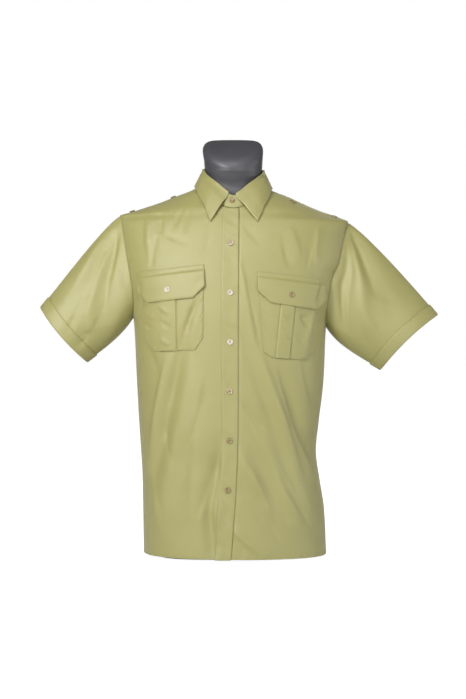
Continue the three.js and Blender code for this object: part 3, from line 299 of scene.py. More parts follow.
FORM_GAP = rows(
    "z front side back",
    (0, 62, 34, 40), (150, 36, 22, 26), (300, 42, 40, 40), (450, 25, 25, 20), (560, 13, 18, 15),
    (680, 12, 24, 12), (715, 9, 24, 9), (735, 7, 14, 7), (748, 6.5, 3.2, 6), (764, 6.5, 2.4, 5.5),
    (790, 6, 2.6, 5), (812, 2, 3, 3), (830, 0, 0, 0),
)
FORM_RIMS = rows(
    "inset rise",
    (0, 0), (0.3, 3), (1.5, 6), (3, 8.8), (5, 11), (8, 13), (11, 14), (17, 14.7), (30, 15), (50, 15),
)
FORM = SimpleNamespace(
    sides=144, cap_front=834, cap_back=893, cap_arch=12, height_step=6, shoulder=826, foot=(0, 1.2, 3),
    foot_inset=0.992, neck_from=0.12, neck_rings=10, sharp=50,
)


def power(value, exponent):
    """A power that keeps the sign of its base."""
    return np.sign(value) * np.abs(value) ** exponent


def lerp(start, end, share):
    return start + (end - start) * share


def smooth(value, low, high):
    """0 below low, 1 above high, and a soft rise between."""
    share = np.clip((value - low) / (high - low), 0, 1)
    return share * share * (3 - 2 * share)


def hermite(low, high, leave, arrive, t):
    """A smooth run from low to high that leaves and arrives at the given slopes."""
    return lerp(low, high, t * t * (3 - 2 * t)) + t * (1 - t) ** 2 * leave + t * t * (t - 1) * arrive


def unit(vector):
    return vector / np.maximum(np.linalg.norm(vector, axis=-1, keepdims=True), 1e-12)


def curve_of(table, key, column):
    """A smooth curve through one column of a table, which never overshoots its rows."""
    at = np.array([getattr(row, key) for row in table], float)
    value = np.array([getattr(row, column) for row in table], float)
    span = np.diff(at)
    slope = np.diff(value) / span
    product = slope[:-1] * slope[1:]
    total = np.where(product > 0, slope[:-1] + slope[1:], 1)
    inner = np.where(product > 0, 2 * product / total, 0)
    tangent = np.concatenate([slope[:1], inner, slope[-1:]])

    def curve(where):
        where = np.clip(np.asarray(where, float), at[0], at[-1])
        i = np.clip(np.searchsorted(at, where, side="right") - 1, 0, len(span) - 1)
        t = (where - at[i]) / span[i]
        return hermite(value[i], value[i + 1], span[i] * tangent[i], span[i] * tangent[i + 1], t)

    return curve


def curves_of(table, key):
    columns = [name for name in vars(table[0]) if name != key]
    curves = {column: curve_of(table, key, column) for column in columns}
    return lambda where: SimpleNamespace(**{name: curve(where) for name, curve in curves.items()})


section = curves_of(BODY, "z")
form_gap = curves_of(FORM_GAP, "z")
leaf_edge = curves_of(LEAF_EDGE, "share")
centre_line = curve_of(CENTRE_LINE, "z", "x")


def place(turn, z):
    """A place on the body: a turn, 0 at the centre front and a quarter at the wearer's left, and a height."""
    return np.stack(np.broadcast_arrays(np.asarray(turn, float), np.asarray(z, float)), -1)


def half_at(here, is_right):
    """The half width of a section, on the wearer's right or left."""
    return np.where(is_right, here.right, here.left)


def bare(at):
    """The smooth body's points at places on it, without folds."""
    turn, z = at[..., 0], at[..., 1]
    here = section(z)
    across, ahead = np.sin(turn), np.cos(turn)
    half = half_at(here, across < 0)
    depth = np.where(ahead > 0, here.front, here.back)
    x = here.centre + half * power(across, 2 / here.wide)
    y = -depth * power(ahead, 2 / here.deep)
    return np.stack([x, y, z], -1)


def skin_normal(at):
    """The smooth body's outward direction at places on it."""
    turn_step, height_step = np.array([PROBE.turn, 0]), np.array([0, PROBE.rise])
    around = bare(at + turn_step) - bare(at - turn_step)
    up = bare(at + height_step) - bare(at - height_step)
    return unit(np.cross(around, up))


def bell(value, width):
    """1 at zero, falling away softly on both sides."""
    return np.exp(-((value / width) ** 2))


def waves(run, *parts):
    """Small waves along a run. Each part has a height, a length in mm for each radian, and a phase."""
    return sum(high * np.sin(run / long + phase) for high, long, phase in parts)


def ridge(fold, x, y):
    """A point's share of a fold's run, how far aside it is, and how much the fold swells there."""
    run = np.array([fold.x1 - fold.x0, fold.y1 - fold.y0], float)
    length = np.linalg.norm(run)
    off_x, off_y = x - fold.x0, y - fold.y0
    share = np.clip((off_x * run[0] + off_y * run[1]) / length**2, 0, 1)
    return share, (off_x * run[1] - off_y * run[0]) / length, np.sin(math.pi * share) ** FOLD.fade


def wrinkles(folds, creases, x, y):
    """How far folds and creases lift the points at x and y of their own plane."""
    lift = np.zeros_like(y)
    for fold in folds:
        share, aside, swell = ridge(fold, x, y)
        lift = lift + fold.depth * bell(aside, fold.width) * swell
    for crease in creases:
        share, aside, swell = ridge(crease, x, y)
        aside = aside - crease.bow * swell
        flank = crease.width * np.where(aside * crease.bow > 0, CREASE.steep, CREASE.gentle)
        uneven = 1
        for (high, fast), phase in zip(CREASE.uneven, (crease.x0 + crease.y0, crease.x1 + crease.y1)):
            uneven = uneven + high * np.sin(fast * share + phase)
        lift = lift + CREASE.strength * crease.depth * bell(aside, flank) * swell * uneven
    return lift


def drape(at):
    """How far the folds and the groove beside the placket lift the cloth at places on the body."""
    ahead = np.cos(at[..., 0])
    x, z = bare(at)[..., 0], at[..., 1]
    front, back = [wrinkles(FOLDS[face], CREASES[face], x, z) for face in ("front", "back")]
    beside = x - centre_line(z) - PLACKET.half
    groove = bell(beside - PLACKET_GROOVE.at, PLACKET_GROOVE.width) * smooth(beside, *PLACKET_GROOVE.starts)
    lift = np.where(ahead > 0, front - (z < PLACKET.top) * PLACKET_GROOVE.depth * groove, back)
    return smooth(np.abs(ahead), *FOLD.side_fade) * lift


def pucker(at):
    """Small waves that the sewn hem draws into the cloth just above it."""
    above = at[..., 1] - hem_at(bare(at)[..., 0])
    return bell(above - HEM.stitch, HEM.pucker) * waves(at[..., 0] * HEM.around, *HEM.waves)


def skin(at, out=0.0):
    """The shirt's folded outside at places on the body, or a surface further out."""
    lift = drape(at) + pucker(at) + out
    return bare(at) + skin_normal(at) * lift[..., None]


def place_at(x, z, face=1):
    """The place on the front, or with face -1 on the back, at a given x and height."""
    x, z = np.broadcast_arrays(np.asarray(x, float), np.asarray(z, float))
    here = section(z)
    half = half_at(here, x < here.centre)
    share = np.minimum(1, np.abs(x - here.centre) / half)
    turn = np.arcsin(share ** (here.wide / 2))
    return place(np.sign(x - here.centre) * (turn if face > 0 else math.pi - turn), z)


def overhead(x, y):
    """The place on the shoulders right under a point seen from above."""
    x, y = np.broadcast_arrays(np.asarray(x, float), np.asarray(y, float))

    def sums(z):
        here = section(z)
        half = half_at(here, x < here.centre)
        depth = np.where(y < 0, here.front, here.back)
        return (np.abs(x - here.centre) / half) ** here.wide, (np.abs(y) / depth) ** here.deep

    low = np.full(x.shape, float(OVERHEAD.low))
    high = np.full(x.shape, float(OVERHEAD.high))
    for _ in range(OVERHEAD.halvings):
        middle = (low + high) / 2
        under = sum(sums(middle)) < 1
        low, high = np.where(under, middle, low), np.where(under, high, middle)
    z = (low + high) / 2
    across, ahead = sums(z)
    side = np.where(x < section(z).centre, -1, 1)
    return place(side * np.arctan2(np.sqrt(across), -np.sign(y) * np.sqrt(ahead)), z)


def hem_at(x):
    return HEM.height + HEM.tilt * x


def neckline(angle):
    """The neckline, by the angle from the front, as places on the body."""
    depth = np.where(np.cos(angle) > 0, NECK.front, NECK.back)
    return overhead(NECK.centre + NECK.half * np.sin(angle), -depth * np.cos(angle))


def armhole(side, angle):
    """The armhole, by the angle from the shoulder tip to the underarm, front positive."""
    hole = ARMHOLE[side]
    z = (hole.tip + hole.pit) / 2 + (hole.tip - hole.pit) / 2 * np.cos(angle)
    front = angle > 0
    reach = np.where(front, hole.front, hole.back)
    lean = np.where(front, hole.front_lean, hole.back_lean)
    y = reach * np.abs(np.sin(angle)) * (1 - lean * np.cos(angle))
    here = section(z)
    ahead = (y / np.where(front, here.front, here.back)) ** (here.deep / 2)
    return place(side * np.arccos(np.where(front, ahead, -ahead)), z)


def to_sheet(at):
    """Places as points of a flat sheet, on which a panel's lines are spread evenly."""
    x = bare(at)[..., 0]
    here = section(np.minimum(at[..., 1], SHOULDER_FLOOR))
    centre = section(at[..., 1]).centre
    half = half_at(here, x < centre)
    return np.stack([np.arcsin(np.clip((x - centre) / half, -1, 1)), at[..., 1]], -1)


def from_sheet(point, face):
    """Points of the flat sheet as places on the front, or with face -1 on the back."""
    here = section(np.minimum(point[..., 1], SHOULDER_FLOOR))
    centre = section(point[..., 1]).centre
    half = half_at(here, point[..., 0] < 0)
    return place_at(centre + half * np.sin(point[..., 0]), point[..., 1], face)


def between(bottom, top, left, right, u, v):
    """A grid between four edges that meet at their ends, at the shares u across and v up."""
    u, v = u[None, :, None], v[:, None, None]
    across = lerp(left[:, None], right[:, None], u)
    upward = lerp(bottom[None], top[None], v)
    foot = lerp(bottom[0], bottom[-1], u)
    head = lerp(top[0], top[-1], u)
    return across + upward - lerp(foot, head, v)


def stations(total, fine, first=0.0, last=0.0):
    """Stations from 0 to total, closer beside a sewn edge. first and last are the mm in a station there."""
    base = np.linspace(0, total, int(round(total * fine)) + 1)
    near = [line / first for line in EDGE_LINES] if first else []
    far = [total - line / last for line in EDGE_LINES] if last else []
    return np.unique(np.concatenate([base, near, far]).round(5))


def lengths(points, axis):
    """The length along a grid's rows or columns, from its first line."""
    step = np.linalg.norm(np.diff(points, axis=axis), axis=-1)
    start = np.zeros_like(np.take(step, [0], axis))
    return np.concatenate([start, np.cumsum(step, axis)], axis)


def edge_distances(points, wrap=False):
    """The distance of each point of a grid from its bottom, top, left and right edges."""
    up, along = lengths(points, 0), lengths(points, 1)
    far = np.full(up.shape, 1e3)
    return SimpleNamespace(
        bottom=up, top=up[-1:] - up,
        left=far if wrap else along, right=far if wrap else along[:, -1:] - along,
    )


def seam_relief(points, seams, wrap=False):
    """How far sewn edges sink: a rolled edge, and a groove under each row of stitches."""
    distance = edge_distances(points, wrap)
    sink = np.zeros(points.shape[:2])
    for edge, stitches in seams.items():
        away = getattr(distance, edge)
        sink -= SEAM.roll * bell(away, SEAM.width)
        for line in stitches:
            sink -= SEAM.groove * bell(away - line, SEAM.width)
    return sink


def seam_shift(points, normals):
    """How far a panel's edges move in, so that seams keep their gap."""
    shift = np.zeros_like(points)
    for axis in (0, 1):
        for edge, within in ((0, 2), (-1, -3)):
            line = np.take(points, edge, axis)
            inward = unit(np.cross(np.take(normals, edge, axis), np.gradient(line, axis=0)))
            side = np.sign((inward * (np.take(points, within, axis) - line)).sum(-1, keepdims=True))
            move = side * inward * SEAM.gap / 2
            if axis == 0:
                shift[edge] += move
            else:
                shift[:, edge] += move
    return shift


def panel(at, cloth, seams):
    """The outside and inside of a cloth panel over a grid of places."""
    points, normals = skin(at), skin_normal(at)
    sink = seam_relief(points, seams)[..., None] * normals
    outer = points + seam_shift(points, normals) + sink
    return outer, outer - normals * cloth


def grid_normals(points, wrap=False):
    along = (np.roll(points, -1, 1) - np.roll(points, 1, 1)) if wrap else np.gradient(points, axis=1)
    return unit(np.cross(along, np.gradient(points, axis=0)))


def shell(points, cloth, outward, wrap=False, seams=None):
    """The outside and inside of a cloth wall round a middle surface. outward points to its outer side."""
    normals = grid_normals(points, wrap)
    if (normals * outward).sum() < 0:
        normals = -normals
    sink = seam_relief(points, seams or {}, wrap)[..., None]
    return points + normals * (cloth / 2 + sink), points - normals * cloth / 2


def side_seam(side, share):
    foot = hem_at(bare(place(side * QUARTER, 0))[..., 0])
    return place(side * QUARTER, lerp(foot, ARMHOLE[side].pit, share))


def outer_edge(side, r, front, top_angle, steps):
    """The side seam and the armhole above it, up to the yoke."""
    share = np.clip((r - SIDE_STEPS) / steps, 0, 1)
    angle = lerp(math.pi, math.radians(top_angle), share) * (1 if front else -1)
    seam = side_seam(side, np.minimum(r / SIDE_STEPS, 1))
    return np.where((r > SIDE_STEPS)[:, None], armhole(side, angle), seam)


def shoulder_seam(side, share):
    """Where the yoke meets a front, straight from above, from the neckline to the armhole."""
    neck = neckline(np.array(side * math.radians(NECK.seam)))
    arm = armhole(side, np.array(math.radians(YOKE.front)))
    line = lerp(bare(neck), bare(arm), share[:, None])
    at = overhead(line[:, 0], line[:, 1])
    at[share == 0] = neck
    at[share == 1] = arm
    return at


def front_neck_angle(side, share):
    start = math.asin((centre_line(PLACKET.top) + FRONT_EDGE[side] - NECK.centre) / NECK.half)
    return lerp(start, side * math.radians(NECK.seam), share)


def centre_heights(side, r):
    top = float(neckline(front_neck_angle(side, np.array(0.0)))[..., 1])
    foot = float(hem_at(centre_line(0) + FRONT_EDGE[side]))
    lower = lerp(foot, CENTRE_SPLIT, np.minimum(r / SIDE_STEPS, 1))
    upper = lerp(CENTRE_SPLIT, top, np.clip((r - SIDE_STEPS) / ARM_STEPS, 0, 1))
    return np.where(r > SIDE_STEPS, upper, lower)


def framed(at, bottom, top, left, right):
    """A grid whose outer lines are its four edges exactly."""
    at[0], at[-1], at[:, 0], at[:, -1] = bottom, top, left, right
    return at


def panel_places(edges, across, up, face):
    """Places all over a panel between its bottom, top, left and right edges."""
    grid = between(*[to_sheet(edge) for edge in edges], across, up)
    return framed(from_sheet(grid, face), *edges)


def front_places(side):
    """A front, from its edge under the placket to the side seam and the armhole."""
    columns, lines = NECK_STEPS + SHOULDER_STEPS, SIDE_STEPS + ARM_STEPS
    s = stations(columns, fine=9, first=18, last=20)
    r = stations(lines, fine=9, first=41, last=20)
    heights = centre_heights(side, r)
    edge = place_at(centre_line(heights) + FRONT_EDGE[side], heights)
    outer = outer_edge(side, r, True, YOKE.front, ARM_STEPS)
    neck = neckline(front_neck_angle(side, np.minimum(s / NECK_STEPS, 1)))
    shoulder = shoulder_seam(side, np.clip((s - NECK_STEPS) / SHOULDER_STEPS, 0, 1))
    top = np.where((s > NECK_STEPS)[:, None], shoulder, neck)
    reach = lerp(to_sheet(edge[:1])[0, 0], side * QUARTER, s / columns)
    flat = from_sheet(place(reach, HEM.height), 1)
    bottom = place(flat[:, 0], hem_at(bare(place(flat[:, 0], 0))[:, 0]))
    return panel_places((bottom, top, edge, outer), s / columns, r / lines, 1)


def yoke_seam(share):
    """The seam between the back and the yoke, from the wearer's left to the right."""
    ends = [armhole(side, np.array([-math.radians(YOKE.back)])) for side in (LEFT, RIGHT)]
    left, right = [to_sheet(end)[0] for end in ends]
    height = lerp(lerp(left[1], right[1], share), YOKE.height, np.sin(math.pi * share))
    at = from_sheet(place(lerp(left[0], right[0], share), height), -1)
    at[share == 0] = ends[0][0]
    at[share == 1] = ends[1][0]
    return at


def back_places():
    """The back, from the wearer's left to the right, up to the yoke."""
    lines = SIDE_STEPS + BACK_ARM_STEPS
    s = stations(BACK_STEPS, fine=8, first=24, last=24)
    r = stations(lines, fine=8, first=41, last=20)
    left, right = [outer_edge(side, r, False, YOKE.back, BACK_ARM_STEPS) for side in (LEFT, RIGHT)]
    turn = QUARTER + math.pi * s / BACK_STEPS
    bottom = place(turn, hem_at(bare(place(turn, 0))[:, 0]))
    top = yoke_seam(s / BACK_STEPS)
    return panel_places((bottom, top, left, right), s / BACK_STEPS, r / lines, -1)


def yoke_places():
    """The yoke over both shoulders, from the neckline out to the seams."""
    ends = YOKE_FRONT_STEPS + YOKE_BACK_STEPS
    columns = BACK_STEPS + 2 * ends
    s = stations(columns, fine=8, first=12, last=12)
    r = stations(SHOULDER_STEPS, fine=6, first=20, last=20)
    start = math.radians(NECK.seam)
    neck = neckline(lerp(start, TURN - start, s / columns))

    def arm(side, step):
        front = lerp(YOKE.front, 0, np.minimum(step / YOKE_FRONT_STEPS, 1))
        back = -YOKE.back * np.clip((step - YOKE_FRONT_STEPS) / YOKE_BACK_STEPS, 0, 1)
        return armhole(side, np.radians(np.where(step > YOKE_FRONT_STEPS, back, front)))

    outer = yoke_seam(np.clip((s - ends) / BACK_STEPS, 0, 1))
    outer = np.where((s < ends)[:, None], arm(LEFT, np.minimum(s, ends)), outer)
    outer = np.where((s > columns - ends)[:, None], arm(RIGHT, np.minimum(columns - s, ends)), outer)
    one, two = [shoulder_seam(side, r / SHOULDER_STEPS) for side in (LEFT, RIGHT)]
    grid = between(*[bare(line) for line in (neck, outer, one, two)], s / columns, r / SHOULDER_STEPS)
    return framed(overhead(grid[..., 0], grid[..., 1]), neck, outer, one, two)


SLEEVE_ROWS, BAND_ROWS = 8, 2


def sleeve_angles():
    """Angles round the armhole, from the shoulder tip down the front and up the back."""
    fine = 6
    front = np.linspace(0, math.radians(YOKE.front), YOKE_FRONT_STEPS * fine, endpoint=False)
    down = np.linspace(math.radians(YOKE.front), math.pi, ARM_STEPS * fine, endpoint=False)
    up = np.linspace(-math.pi, -math.radians(YOKE.back), BACK_ARM_STEPS * fine, endpoint=False)
    back = np.linspace(-math.radians(YOKE.back), 0, YOKE_BACK_STEPS * fine, endpoint=False)
    return np.concatenate([front, down, up, back])


def sleeve_surface(side, steps):
    """Points and normals of the sleeve's outside, in rings. A step counts rows from armhole to edge."""
    angle = sleeve_angles()
    hole, cuff = ARMHOLE[side], CUFF[side]
    at = armhole(side, angle)
    root = skin(at)
    normal = skin_normal(at)
    wrapped = lambda value: np.mod(value + math.pi, TURN) - math.pi
    ahead, behind = [skin(armhole(side, wrapped(angle + step))) for step in (PROBE.turn, -PROBE.turn)]
    waist = np.full_like(angle, (hole.tip + hole.pit) / 2)
    middle = np.stack([root[:, 0], np.zeros_like(angle), waist], -1)
    inward = unit(np.cross(normal, ahead - behind))
    sign = np.sign((inward * (middle - root)).sum(-1, keepdims=True))
    root = root + inward * np.where(sign == 0, 1, sign) * SLEEVE.root_gap

    height = np.cos(angle)
    depth = -np.sign(angle) * SLEEVE.cuff_depth * np.abs(np.sin(angle)) ** SLEEVE.cuff_power
    share = ((1 + height) / 2)[:, None]
    edge = lerp(np.array(cuff.foot, float), np.array(cuff.top, float), share)
    end = np.stack([edge[:, 0], depth, edge[:, 1]], -1)

    def heading(slope, forward=0.0):
        slope = np.broadcast_to(np.radians(slope), angle.shape)
        forward = np.broadcast_to(forward, angle.shape)
        return unit(np.stack([side * np.cos(slope), forward, -np.sin(slope)], -1))

    end = end + heading(cuff.slope) * cuff.bow * (np.sin(angle) ** 2)[:, None]
    length = np.linalg.norm(end - root, axis=-1)[:, None]
    leave = heading(SLEEVE.root_slope - SLEEVE.root_spread * height, -SLEEVE.forward * np.sin(angle))
    arrive = heading(cuff.slope + cuff.spread * height)
    pull = (SLEEVE.root_pull - SLEEVE.root_pull_spread * height)[:, None]
    second = root + leave * length * pull
    third = end - arrive * length * SLEEVE.cuff_pull

    band = 1 - SLEEVE.band / length[:, 0]
    steps = np.asarray(steps, float)[:, None]
    lower = lerp(band, 1, (steps - SLEEVE_ROWS) / BAND_ROWS)
    t = np.where(steps > SLEEVE_ROWS, lower, steps / SLEEVE_ROWS * band)
    u = t[..., None]
    curve = (1 - u) ** 3 * root + 3 * (1 - u) ** 2 * u * second + 3 * (1 - u) * u * u * third + u**3 * end
    normals = ring_normals(curve)
    lift = wrinkles(SLEEVE_FOLDS[side], SLEEVE_CREASES[side], np.degrees(angle)[None], 100 * t)
    lift = lift * smooth(t, 0, SLEEVE.folds_from)
    points = curve + normals * lift[..., None]
    normals = ring_normals(points)
    normals[0] = unit(normals[0] + normal)
    return points, normals


def ring_normals(rings):
    """Outward normals of a sleeve's rings."""
    middle = rings.mean(1, keepdims=True)
    around = np.roll(rings, -1, 1) - np.roll(rings, 1, 1)
    normals = unit(np.cross(around, np.gradient(rings, axis=0)))
    sign = np.sign((normals * (rings - middle)).sum(-1, keepdims=True))
    return normals * np.where(sign == 0, 1, sign)


def sleeve_walls(side, cloth):
    """A sleeve from the armhole to its edge inside the cuff."""
    points, normals = sleeve_surface(side, stations(SLEEVE_ROWS + BAND_ROWS, fine=6, first=25, last=13))
    sink = seam_relief(points, {"bottom": ()}, True)[..., None]
    return points + normals * sink, points + normals * (sink - cloth)


def cuff_walls(side, cloth):
    """The cuff's turn-up, which wraps the sleeve's edge and ends inside it."""
    past = np.array([row.past for row in CUFF_PROFILE])
    out = np.array([row.out for row in CUFF_PROFILE])
    points, normals = sleeve_surface(side, SLEEVE_ROWS + BAND_ROWS * (1 + past / SLEEVE.band))
    outside = ((past < 0) & (out > 0))[:, None, None]
    return shell(points + normals * out[:, None, None], cloth, np.where(outside, normals, 0), True)


def away_at(angle):
    """The level direction away from the neck, by the angle from the front."""
    return np.stack([np.sin(angle), -np.cos(angle), np.zeros_like(angle)], -1)


def stand_point(angle, rise, out):
    """A point of the collar stand's outside. rise runs from 0 at the neckline to 1 at the top."""
    angle, rise, out = np.broadcast_arrays(angle, np.asarray(rise, float), np.asarray(out, float))
    foot = skin(neckline(angle))
    from_front = np.degrees(np.arccos(np.cos(angle)))
    crest = COLLAR.crest * bell(from_front - COLLAR.crest_at, COLLAR.crest_spread)
    tall = lerp(COLLAR.stand_front, COLLAR.stand_back, (1 - np.cos(angle)) / 2) + crest
    depth = np.where(np.cos(angle) > 0, COLLAR.front, COLLAR.back)
    x = NECK.centre + COLLAR.half * np.sin(angle)
    top = np.stack([x, -depth * np.cos(angle), foot[..., 2] + tall], -1)
    foot = foot + np.array([0, 0, COLLAR.lift])
    away = away_at(angle)
    return lerp(foot, top, rise[..., None]) + away * out[..., None]


def stand_walls(cloth):
    """The stand runs from its end under the wearer's left front, round the back, to its buttoned end."""
    start = front_neck_angle(RIGHT, 0.0)
    end = math.asin((COLLAR.over_end - NECK.centre) / NECK.half) - TURN
    angle = np.linspace(start, end, COLLAR.stand_steps)[None]
    over = COLLAR.over_out * (1 - smooth(np.degrees(angle + TURN), COLLAR.over_to, COLLAR.over_from))
    rise = stations(1, fine=12, first=30, last=30)[:, None]
    outer = stand_point(angle, rise, over)
    inner = stand_point(angle, rise, over - cloth)
    sink = seam_relief(outer, {"left": (), "right": (EDGE_ROW,), "bottom": (EDGE_ROW,)})[..., None]
    return outer + unit(outer - inner) * sink, inner


def through(points, q):
    """Points of a smooth line through the last-but-one axis of points, at index coordinates q."""
    gap = np.linalg.norm(np.diff(points, axis=-2), axis=-1, keepdims=True)
    speed = np.diff(points, axis=-2) / gap
    before, after = gap[..., :-1, :], gap[..., 1:, :]
    inner = (speed[..., :-1, :] * after + speed[..., 1:, :] * before) / (before + after)
    tangent = np.concatenate([speed[..., :1, :], inner, speed[..., -1:, :]], -2)
    i = np.clip(q.astype(int), 0, points.shape[-2] - 2)
    t = (q - i)[:, None]
    leave, arrive = [tangent[..., at, :] * gap[..., i, :] for at in (i, i + 1)]
    return hermite(points[..., i, :], points[..., i + 1, :], leave, arrive, t)


def leaf_lines(angle, side, share):
    """The leaf's middle lines from the stand's top over the roll to its outer edge."""
    near = 1 - smooth(share, 0, COLLAR.over_share)
    out = near * COLLAR.over_out
    roll = [stand_point(angle, 1, step.out + out) + np.array([0, 0, step.up]) for step in ROLL]
    rim = leaf_edge(share)
    heading = np.radians(rim.right_heading if side == RIGHT else rim.left_heading)
    reach = rim.right_reach if side == RIGHT else rim.left_reach
    edge = overhead(NECK.centre + side * reach * np.sin(heading), -reach * np.cos(heading))
    rest = skin(edge, COLLAR.rest)
    bulge = COLLAR.bulge * (1 - smooth(share, COLLAR.bulge_from, COLLAR.bulge_to))
    away = away_at(angle)
    fall = []
    for part in (1 / 3, 2 / 3, 1):
        fall.append(lerp(roll[-1], rest, part) + away * (bulge * math.sin(math.pi * part))[:, None])
    return np.stack(roll + fall, -2)


def leaf_walls(cloth):
    """The leaf, from one point round the neck to the other."""
    near = [line / COLLAR.leaf_run for line in EDGE_LINES]
    share = np.unique(np.concatenate([np.linspace(0, 1, COLLAR.leaf_steps), near]))
    spread = share**COLLAR.crowding

    def half(side, x):
        start = math.asin((x - NECK.centre) / COLLAR.half)
        return leaf_lines(lerp(start, side * math.pi, spread), side, spread)

    left, right = half(LEFT, COLLAR.leaf_left), half(RIGHT, COLLAR.leaf_right)
    lines = np.concatenate([left, right[::-1][1:]])
    roll, last = len(ROLL) - 1, lines.shape[1] - 1
    fall = roll + stations(last - roll, fine=9, first=0, last=20)[1:]
    q = np.concatenate([np.linspace(0, roll, COLLAR.roll_steps), fall])
    middle = through(lines, q).transpose(1, 0, 2)
    outward = middle - np.array([NECK.centre, 0, 0])
    outward[..., 2] = 0
    return shell(middle, cloth, outward, seams=dict.fromkeys(("top", "left", "right"), (COLLAR_ROW,)))


def placket_walls(cloth):
    """The strip down the front, which follows the centre line."""
    r = stations(SIDE_STEPS + ARM_STEPS, fine=9, first=41, last=20)
    z = np.minimum(centre_heights(RIGHT, r), PLACKET.top)
    z = z[np.concatenate([[True], np.diff(z) > 0])]
    across = stations(2, fine=10, first=PLACKET.half, last=PLACKET.half) - 1
    x = centre_line(z)[:, None] + across[None] * PLACKET.half
    height = np.broadcast_to(z[:, None], x.shape).copy()
    height[0] = hem_at(x[0]) - HEM.placket_below
    at = place_at(x, height)
    lift = placket_lift(height, across[None])
    outer, inner = skin(at, PLACKET.gap + cloth + lift), skin(at, PLACKET.gap + lift)
    seams = {"left": (PLACKET.row,), "right": (NEAR_EDGE,), "bottom": (), "top": ()}
    return outer + skin_normal(at) * seam_relief(outer, seams)[..., None], inner


def placket_lift(z, across):
    """The free edge, on the wearer's right, lifts a little between buttons, most near the hem."""
    phase = (z - PLACKET_BUTTONS.first) / PLACKET_BUTTONS.pitch
    between_buttons = np.sin(math.pi * phase) ** 2
    low = smooth(-z, PLACKET_LIFT.low_from, PLACKET_LIFT.low_to)
    small = waves(z + PLACKET_LIFT.slant * across, *PLACKET_LIFT.waves)
    small = small + waves(z + PLACKET_LIFT.cross_slant * across, *PLACKET_LIFT.cross_waves)
    free = (PLACKET_LIFT.high + PLACKET_LIFT.low * low) * between_buttons * smooth(-across, -0.2, 1)
    return free + small * (1 - PLACKET_LIFT.edge_share * across**2)


def pocket_lines(key, *more):
    """Lines across a pocket, evenly apart and closer beside its sewn edges."""
    near = [key[0] + line for line in EDGE_LINES] + [key[-1] - line for line in EDGE_LINES]
    even = np.arange(key[0], key[-1], POCKET.line_step)
    return np.unique(np.concatenate([even, key, near, *more]).round(4))


def bag_walls(side, cloth):
    """A pocket bag with a box pleat down its middle, and edges that its stitches pucker."""
    shape, step = POCKETS[side], side * POCKET.pleat_step
    top = np.array(shape.bag_top, float)
    foot = np.array(shape.bag_foot, float)
    order = np.argsort(foot[:, 0])
    corner = POCKET.bag_corner
    key_top = np.array([
        top[0, 0], lerp(top[0, 0], top[1, 0], corner), shape.pleat_top[0] - step, shape.pleat_top[0],
        shape.pleat_top[1], shape.pleat_top[1] + step, lerp(top[0, 0], top[1, 0], 1 - corner), top[1, 0],
    ])
    key_foot = np.array([
        foot[0, 0], foot[1, 0], shape.pleat_foot[0] - step, shape.pleat_foot[0],
        shape.pleat_foot[1], shape.pleat_foot[1] + step, foot[2, 0], foot[3, 0],
    ])
    far = np.abs(key_top)
    pleats = [far[i] + beside for i in (3, 4) for beside in PLEAT.lines]
    across = pocket_lines(far, pleats)
    raised = np.interp(across, far, [0, 0, 0, 1, 1, 0, 0, 0])
    top_x = side * across
    top_z = np.interp(top_x, *top[np.argsort(top[:, 0])].T)
    foot_x = np.interp(across, far, key_foot)
    foot_z = np.interp(foot_x, foot[order, 0], foot[order, 1])
    v = stations(1, fine=70, first=150, last=150)[:, None]
    at = place_at(lerp(foot_x, top_x, v), lerp(foot_z, top_z, v))
    points = skin(at)
    away = edge_distances(points)
    border = np.minimum(np.minimum(away.left, away.right), away.bottom)
    ripple = waves(away.bottom + BAG.waves_slant * away.left, *BAG.waves)
    swell = smooth(border, BAG.swell_from, BAG.swell_to) * BAG.swell[side]
    base = POCKET.gap + BAG.ripple * ripple * bell(border - BAG.ripple_at, BAG.ripple_at) + swell
    sink = seam_relief(points, dict.fromkeys(("left", "right", "bottom"), (EDGE_ROW,)))
    edges = (far[2] + far[3]) / 2, (far[4] + far[5]) / 2
    for edge, depth in zip(edges, PLEAT.grooves[side]):
        sink = sink - depth * bell(across - edge, PLEAT.groove_width)
    outer = skin(at, base + cloth + POCKET.pleat_rise * raised * PLEAT.lift + sink)
    return outer, skin(at, base + sink * 0.5)


def flap_lift(down):
    """How far a flap's inside stands off the front, down from its top edge."""
    over = POCKET.gap + CLOTH + POCKET.pleat_rise + POCKET.layer_gap
    return lerp(POCKET.gap, over, smooth(down, *POCKET.flap_ramp))


def flap_walls(side, cloth):
    """A pocket flap, with its lower edge curling outwards a little."""
    shape = POCKETS[side]
    top, foot = np.array(shape.flap_top, float), np.array(shape.flap_foot, float)
    corner = POCKET.flap_corner
    key = np.abs(lerp(top[0, 0], top[1, 0], np.array([0, corner, 1 - corner, 1])))
    across = pocket_lines(key)
    top_x = side * across
    top_z = np.interp(across, np.abs(top[:, 0]), top[:, 1])
    foot_x, foot_z = np.interp(across, key, foot[:, 0]), np.interp(across, key, foot[:, 1])
    down = stations(1, fine=34, first=60, last=60)[::-1, None] * (top_z - foot_z)
    at = place_at(lerp(top_x, foot_x, down / (top_z - foot_z)), top_z - down)
    points = skin(at)
    away = edge_distances(points)
    border = np.minimum(np.minimum(away.left, away.right), away.bottom)
    swell = FLAP.swell * smooth(border, 0, FLAP.soft) * smooth(down, FLAP.row, 3 * FLAP.row)
    curl = FLAP.curl * (1 - smooth(away.bottom, 0, FLAP.soft))
    seams = {"left": (EDGE_ROW,), "right": (EDGE_ROW,), "bottom": (EDGE_ROW,), "top": (NEAR_EDGE,)}
    lift = flap_lift(down) + swell + curl + seam_relief(points, seams)
    lift -= FLAP.row_sink * bell(down - FLAP.row, FLAP.row_width)
    return skin(at, lift + cloth), skin(at, lift)


